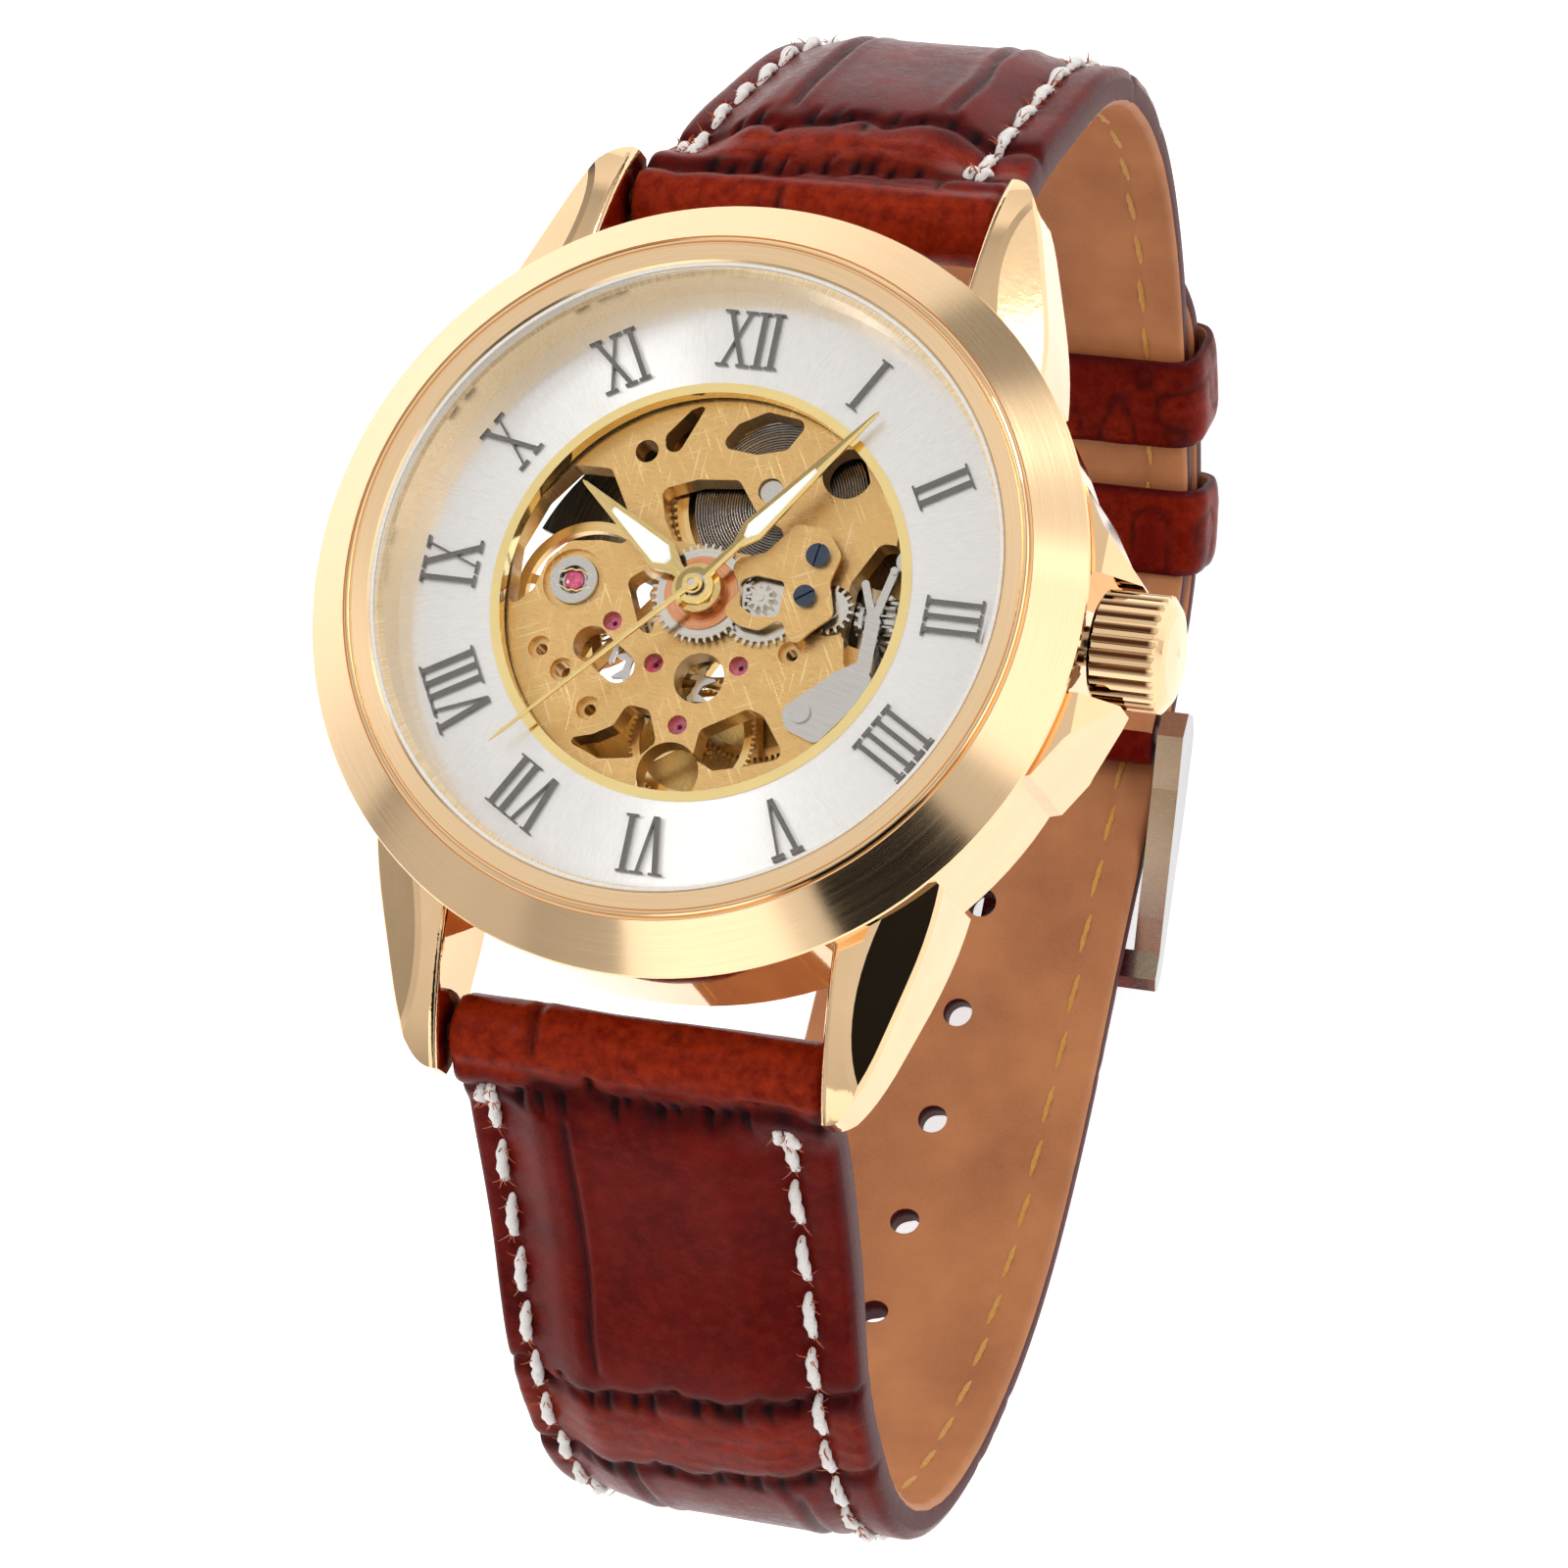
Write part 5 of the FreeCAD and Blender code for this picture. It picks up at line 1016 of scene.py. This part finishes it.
def keeper(name, node, body, upper, place, long, wall, room, materials, seed):
    """A leather loop round both strap layers, domed outside, with painted edges."""
    centre, outward = upper.at(upper.nearest(place))
    line = np.array([0.0, -outward[1], outward[0]])
    rise = np.array([0.0, *outward])
    loop, normal = spaced(rounded_loop(9.35, -(THIN + room), THIN + LAYER_GAP + room, 1.1), 0.3)
    ends = np.linspace(-1, 1, 25)
    outer_side = [(s * long / 2, wall * (1 - 0.34 * abs(s) ** 6)) for s in ends]
    inner_side = [(s * long / 2, 0.18 * abs(s) ** 8) for s in ends[::-1]]
    section = np.array(outer_side + inner_side)
    bumps = Field(seed, 1.7, 2.1)
    arc = np.arange(len(loop)) * 0.3
    points, masks = [], {"crease_shade": [], "warm": [], "edge": []}
    for (across, out), (nx, ny), position in zip(loop, normal, arc):
        scale = bumps.at(np.full(len(section), position), section[:, 0])
        raised = 0.05 * scale * (section[:, 1] > 0.4)
        fold = hump(np.abs(scale), 0.12) * (section[:, 1] > 0.4)
        lift = section[:, 1] + raised - 0.06 * fold
        x, y = across + nx * lift, out + ny * lift
        points.append(np.outer(x, [1.0, 0, 0]) + np.outer(y, rise) + np.outer(section[:, 0], line))
        edge = 1 - step_up(long / 2 - np.abs(section[:, 0]), 0.12, 0.4)
        # Painted shade along the fold lines between the scales.
        masks["crease_shade"].append(0.6 * fold)
        masks["warm"].append(0.35 + 0.3 * scale)
        masks["edge"].append(edge)
    rows, columns = len(loop), len(section)
    vertices = np.concatenate(points) + np.array([0.0, *centre])
    faces, kinds = [], []
    for i in range(rows):
        for j in range(columns):
            a, b = i * columns, ((i + 1) % rows) * columns
            faces.append((a + j, a + (j + 1) % columns, b + (j + 1) % columns, b + j))
            if j < len(outer_side) - 1:
                kinds.append(0)
            else:
                kinds.append(2 if j in (len(outer_side) - 1, columns - 1) else 1)
    attributes = {key: np.clip(np.concatenate(values), 0, 1) for key, values in masks.items()}
    made = build_mesh(name, vertices * MM, faces, materials[:3], body, kinds, attributes)
    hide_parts(node)
    return made


def lume_insert(name, outline, low, high, degrees, body, material):
    """A softly domed insert that fills the window of a hand."""
    ring = [*outline, *((-x, y) for x, y in reversed(outline))]
    angle = math.radians(-degrees)
    layers = ((1.0, low), (1.0, high - 0.02), (0.8, high + 0.03), (0.4, high + 0.05))
    middle = sum(y for _, y in outline) / len(outline)
    vertices = []
    for share, height in layers:
        for x, y in ring:
            x, y = x * share, middle + (y - middle) * share
            vertices.append((x * math.cos(angle) - y * math.sin(angle),
                             x * math.sin(angle) + y * math.cos(angle), height))
    faces = capped(len(layers), len(ring))
    made = build_mesh(name, np.array(vertices) * MM, faces, [material], body)
    return made


def lathed(profile, x, y, steps):
    """The vertices of a profile of (radius, height) turned about an upright axis."""
    turns = [2 * math.pi * k / steps for k in range(steps)]
    return np.array([(x + r * math.cos(a), y + r * math.sin(a), z) for r, z in profile for a in turns])


def wound_spring(material):
    """The mainspring as it lies in its barrel: many thin coils pressed against each other."""
    low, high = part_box("mainspring")
    x, y = middle_of("mainspring")
    outer = (high.x - low.x) / 2 / MM - 0.06
    base, top = low.z / MM, high.z / MM
    coils = np.arange(outer, outer - 3.3, -0.145)
    profile = []
    for k, radius in enumerate(coils):
        lift = 0.05 * math.sin(k * 1.9) * math.sin(k * 0.7)
        profile += [(radius, top - 0.22), (radius - 0.02, top - 0.02 + lift), (radius - 0.1, top + lift),
                    (radius - 0.125, top - 0.22)]
    profile += [(coils[-1] - 0.13, base), (outer, base)]
    vertices = lathed(profile, x, y, 120)
    faces = strips(len(profile), 120, closed=True)
    made = build_mesh("wound_mainspring", vertices * MM, faces, [material], "barrel")
    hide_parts("mainspring")


def balance_jewel(ruby, gold):
    """The domed jewel over the balance, held by a gold lyre spring."""
    x, y = BALANCE_PLACE
    profile = [(0.54, 6.72), (0.54, 6.84), (0.47, 6.9), (0.33, 6.96), (0.16, 6.98)]
    vertices = lathed(profile, x, y, 24)
    made = build_mesh("balance_jewel", vertices * MM, capped(len(profile), 24), [ruby], "watch")
    springs = []
    for start in (20, 200):
        angle = np.radians(np.linspace(start, start + 140, 40))
        share = np.linspace(-1, 1, 40)
        reach = 0.62 + 0.34 * np.abs(share) ** 6 - 0.12 * np.exp(-(share / 0.22) ** 2)
        height = np.full(40, 6.97)
        path = np.stack([x + reach * np.cos(angle), y + reach * np.sin(angle), height], axis=1)
        springs.append(tube(path, 8, even(0.055), np.array([0.0, 0.0, 1.0])))
    points, rows = gather(springs)
    made = build_mesh("balance_lyre", points * MM, rows, [gold], "watch")


# ---------------------------------------------------------------- the CAD nodes' finishes

def middle_of(node):
    low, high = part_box(node)
    return (low.x + high.x) / 2 / MM, (low.y + high.y) / 2 / MM


def finish_cad():
    """Every carried-over CAD node gets a finish of its own."""
    steel = brushed_steel("brushed_steel", STEEL)
    gold = polished_metal("polished_rose_gold", ROSE_GOLD, 0.05)
    yellow = polished_metal("polished_yellow_gold", YELLOW_GOLD, 0.07)
    finishes = {
        "case_metal": gold,
        "front_crystal": glass("crystal_glass", (1, 1, 1, 1)),
        "rear_crystal": glass("back_glass", (0.98, 0.99, 1, 1)),
        "gasket_white": gasket_plastic("gasket_white", srgb(238, 234, 226)),
        "gasket_dark": gasket_plastic("gasket_dark", srgb(38, 36, 36)),
        "dial_silver": sunburst_metal("dial_sunburst", srgb(232, 229, 226), 0.26, 160.0),
        "gold_trim": yellow,
        # The numerals' dark grey is a painted reflection: polished silver darkened to stand in for the
        # dark surroundings it mirrors.
        "numeral_silver": polished_metal("numeral_silver", srgb(122, 119, 117), 0.1),
        "plate_brass": plate_metal("gilt_plate", srgb(222, 180, 118), 12),
        "wheel_brass": turned_metal("wheel_gilt", BRASS, 0.2, 14.0),
        "movement_steel": steel,
        "dark_steel": brushed_steel("dark_steel", DARK_STEEL, 40, 0.26),
        "blued_steel": polished_metal("blued_steel", srgb(74, 82, 98), 0.1),
        "copper": turned_metal("copper_washer", srgb(214, 138, 92), 0.2, 12.0),
        "ruby": jewel(),
        "leather_brown": leather(),
        "buckle_steel": polished_metal("buckle_steel", srgb(200, 201, 203), 0.2),
        "holder_grey": gasket_plastic("holder_nylon", srgb(150, 148, 144)),
    }
    special = {
        "bezel": bezel_metal(),
        "rehaut": rehaut_metal(),
        "crown": crown_metal(),
        "case_back": turned_metal("case_back_gold", ROSE_GOLD, 0.14, 16.0),
    }
    for hand, angle, tilt in (("hour", HOUR_ANGLE, 0.5), ("minute", MINUTE_ANGLE, 0.5),
                              ("seconds", SECONDS_ANGLE, 0.2)):
        special[f"{hand}_hand"] = faceted_hand(f"{hand}_hand_gold", angle, tilt)
    for node, label in (("barrel_bridge", "gilt_bridge"), ("train_bridge", "gilt_train_bridge"),
                        ("balance_cock", "gilt_cock")):
        special[node] = plate_metal(label, srgb(222, 184, 112), 50)
    for node in ("centre_wheel", "third_wheel", "fourth_wheel", "barrel_drum", "balance_wheel"):
        special[node] = turned_metal(f"gilt_{node}", BRASS, 0.2, 14.0, *middle_of(node))
    for node in ("hairspring", "rotor"):
        special[node] = turned_metal(f"dark_{node}", DARK_STEEL, 0.2, 14.0, *middle_of(node))
    for node in ("hour_wheel", "ratchet_wheel", "crown_wheel", "seconds_wheel", "minute_wheel",
                 "setting_wheel"):
        special[node] = turned_metal(f"steel_{node}", STEEL, 0.17, 16.0, *middle_of(node))
    slot_of = {}
    for row in frame["record"]["materials"]:
        for node in row.get("nodes", []):
            slot_of[node] = row["slot"]
    balance_jewel(finishes["ruby"], yellow)
    wound_spring(polished_metal("coil_steel", srgb(148, 144, 140), 0.14))
    for name, piece in NODES.items():
        slots = piece.data.materials
        for k, old in enumerate(slots):
            key = slot_of.get(name) or (old.name.split(".")[0] if old else "movement_steel")
            slots[k] = special.get(name) or finishes[key]


# ---------------------------------------------------------------- strap, keepers, lume

def dress():
    """The leather, the threads, the keepers and the lume."""
    # Each thread's second colour is the painted shade between its fibres.
    threads = (thread("white_thread", srgb(252, 250, 247), srgb(214, 206, 200)),
               thread("golden_thread", srgb(222, 168, 74), srgb(180, 120, 44)),
               thread("loose_fibre", srgb(206, 98, 44), srgb(164, 62, 24)))
    kit = (leather(), lining_leather(), edge_paint(), *threads)
    # Each of the creases: where it starts, its slant, its depth and how strongly its painted shade
    # darkens.
    upper_emboss = Emboss(
        11, (0.05, 0.5),
        [(2.5, 0.8, 0.35, 0.8), (7.3, 1.3, 0.34, 0.8), (28.8, -0.7, 0.34, 0.8), (36.2, 0.6, 0.3, 0.7),
         (56.8, -0.5, 0.26, 0.75), (64.0, 0.5, 0.22, 0.7)],
        [(-9.0, 1.9, 1.0), (3.0, 6.6, 0.95), (29.4, 35.6, 0.9), (57.3, 63.5, 0.9)],
        [(-3.7, -4.5, 8.0, 28.0, 0.26), (4.7, 4.1, 9.0, 28.0, 0.26), (-4.2, -3.9, 37.5, 56.0, 0.22),
         (3.9, 4.4, 37.5, 56.0, 0.22), (0.3, -0.2, 65.0, 78.0, 0.16), (-1.8, -1.8, -3.0, 1.6, 0.2)],
        (4.4, 74.5))
    upper = Path(smooth_line(UPPER_POINTS))
    upper_piece = StrapPiece(UPPER_POINTS, 1, upper_emboss, upper.end - 1.5, 1.7, tip_depth=3.4)
    upper_piece.holes = [Hole(upper.end - 1.0, 1.05, long=1.5)]
    dress_strap("strap_leather_12", upper_piece, "strap_12", kit)
    lower_points = with_tail(upper)
    lower = Path(smooth_line(lower_points))
    used = lower.nearest((6.6, -54.45))
    lower_emboss = Emboss(
        41, (0.04, 0.4),
        [(2.9, -0.5, 0.36, 0.9), (22.9, -0.8, 0.38, 0.85), (29.8, -1.0, 0.32, 0.8),
         (52.0, 0.6, 0.28, 0.8), (59.2, -0.4, 0.24, 0.75), (81.0, 0.5, 0.22, 0.75),
         (88.0, -0.5, 0.2, 0.7), (109.0, 0.4, 0.2, 0.7), (116.0, -0.4, 0.18, 0.7)],
        [(-9.0, 2.6, 1.0), (23.6, 29.2, 0.6), (52.6, 58.6, 0.9), (81.6, 87.4, 0.9), (109.6, 115.4, 0.9)],
        [(-4.0, -4.0, 4.0, 22.5, 0.26), (5.2, 4.6, 30.6, 51.0, 0.22), (-4.0, -4.3, 30.6, 51.5, 0.22),
         (0.0, 0.5, 60.5, 80.0, 0.18), (-0.5, 0.0, 89.5, 108.0, 0.16),
         (-5.4, -5.0, -3.0, 1.8, 0.24), (1.9, 2.1, -2.4, -0.2, 0.16)],
        (4.2, lower.end - 10))
    lower_piece = StrapPiece(lower_points, -1, lower_emboss, used, 0.2, rounded_tip=8.0)
    lower_piece.holes = [Hole(used, 0.95, long=1.25)]
    lower_piece.holes += [Hole(used + 7.0 * k, 0.88) for k in (-5, -4, -3, -2, -1, 1)]
    dress_strap("strap_leather_6", lower_piece, "strap_6", kit)
    keeper("keeper_fixed", "fixed_keeper", "watch", upper, (24.4, -50.1), 5.2, 0.8, 0.25, kit, 71)
    keeper("keeper_floating", "floating_keeper", "floating_keeper", upper, (31.0, -43.9), 5.6, 0.8, 0.3,
           kit, 83)
    glow = lume()
    lume_insert("hour_lume", ((0.2, 2.05), (0.6, 2.65), (0.53, 3.25), (0.14, 6.3)), 8.32, 8.46,
                HOUR_ANGLE, "hours", glow)
    lume_insert("minute_lume", ((0.12, 3.45), (0.41, 4.0), (0.38, 4.5), (0.12, 8.3)), 8.68, 8.82,
                MINUTE_ANGLE, "minutes", glow)


# ---------------------------------------------------------------- studio

def area_light(name, place, target, size, power):
    lamp = bpy.data.lights.new(name, "AREA")
    lamp.shape, lamp.size, lamp.energy = "DISK", size, power
    made = bpy.data.objects.new(name, lamp)
    made.location = place
    made.rotation_euler = (Vector(target) - Vector(place)).to_track_quat("-Z", "Y").to_euler()
    bpy.context.scene.collection.objects.link(made)


SKY_LOW, SKY_HIGH = 0.30, 0.88
BACKDROP = 0.9
FLOOR_RADIUS, FLOOR_GAP = 3.0, 0.0002
CAMERA_PLACE = 0.08361, -0.06597, 0.23648
CAMERA_BACK = 0.31171, -0.22898, 0.92217
CAMERA_UP = -0.11889, 0.9535, 0.27694
# Each soft box or dark card: its direction, the cosines where it begins and is full, its level.
SOFT_BOXES = (
    ((-0.98, -0.12, 0.0), 0.965, 0.985, 0.5),
    ((0.78, 0.15, 0.58), 0.90, 0.95, 0.9),
    ((-0.15, 0.98, 0.1), 0.93, 0.97, 0.65),
    ((0.62, 0.67, 0.40), 0.93, 0.97, 0.5),
    ((-0.78, -0.57, 0.26), 0.95, 0.98, 0.25),
    ((-0.05, -0.97, 0.1), 0.94, 0.98, 0.7),
    ((0.98, 0.3, -0.1), 0.95, 0.98, 0.5),
)
DARK_CARDS = (
    ((0.45, -0.62, 0.62), 0.935, 0.955, 0.02),
    ((0.38, 0.92, -0.06), 0.98, 0.99, 0.1),
    ((0.92, -0.2, 0.1), 0.96, 0.98, 0.15),
    ((-0.62, -0.78, 0.0), 0.97, 0.985, 0.2),
    ((-0.55, 0.83, -0.05), 0.975, 0.99, 0.3),
)


def studio():
    """A white surround with dark cards, soft lamps, the floor and the camera."""
    scene = bpy.context.scene
    scene.view_settings.view_transform = "Standard"
    world = bpy.data.worlds.new("surround")
    world.use_nodes = True
    scene.world = world
    sky = Tree(world.node_tree)
    ray = sky.node("TexCoord").outputs["Generated"]

    def facing(direction, outer, inner, far, near):
        """A level that turns smoothly from far to near as the ray comes close to a direction."""
        cosine = sky.vector("DOT_PRODUCT", ray, Vector(direction).normalized())
        return sky.remap(cosine, outer, inner, far, near, smooth=True)

    level = facing((0, 0, 1), -0.1, 0.95, SKY_LOW, SKY_HIGH)
    for direction, outer, inner, strength in SOFT_BOXES:
        level = sky.math("ADD", level, facing(direction, outer, inner, 0.0, strength))
    for direction, outer, inner, left in DARK_CARDS:
        level = sky.math("MULTIPLY", level, facing(direction, outer, inner, 1.0, left))
    seen = sky.node("LightPath").outputs["Is Camera Ray"]
    light = sky.nodes["Background"]
    light.inputs["Color"].default_value = (1.0, 0.995, 0.985, 1.0)
    sky.plug(light.inputs["Strength"], sky.remap(seen, 0.0, 1.0, level, BACKDROP))

    area_light("strap", (0.02, -0.5, 0.28), (0, -0.035, -0.02), 0.4, 0.34)
    area_light("key", (-0.55, 0.05, 0.45), (0, 0, 0), 0.22, 0.9)
    area_light("fill", (0.35, 0.5, 0.35), (0, 0, -0.02), 0.2, 0.5)

    mesh = bpy.data.meshes.new("floor")
    turns = [math.radians(3 * k) for k in range(120)]
    ring = [(FLOOR_RADIUS * math.cos(a), FLOOR_RADIUS * math.sin(a), 0.0) for a in turns]
    mesh.from_pydata(ring, [], [list(range(len(ring)))])
    floor = bpy.data.objects.new("floor", mesh)
    floor.location = (0, 0, cad_box[0].z - FLOOR_GAP)
    scene.collection.objects.link(floor)
    paper = Paint("floor_card", (0.7, 0.7, 0.7, 1.0), 0.0, 0.9)
    paper.set("Emission Color", (1.0, 1.0, 1.0, 1.0))
    paper.set("Emission Strength", 0.72)
    mesh.materials.append(paper.material)

    lens = bpy.data.cameras.new("camera")
    lens.lens, lens.sensor_width = 117.0, 36.0
    camera = bpy.data.objects.new("camera", lens)
    scene.collection.objects.link(camera)
    back = Vector(CAMERA_BACK).normalized()
    right = Vector(CAMERA_UP).cross(back).normalized()
    turn = Matrix((right, back.cross(right), back)).transposed().to_4x4()
    camera.matrix_world = Matrix.Translation(CAMERA_PLACE) @ turn
    scene.camera = camera


finish_cad()
dress()
studio()
bpy.context.view_layer.update()
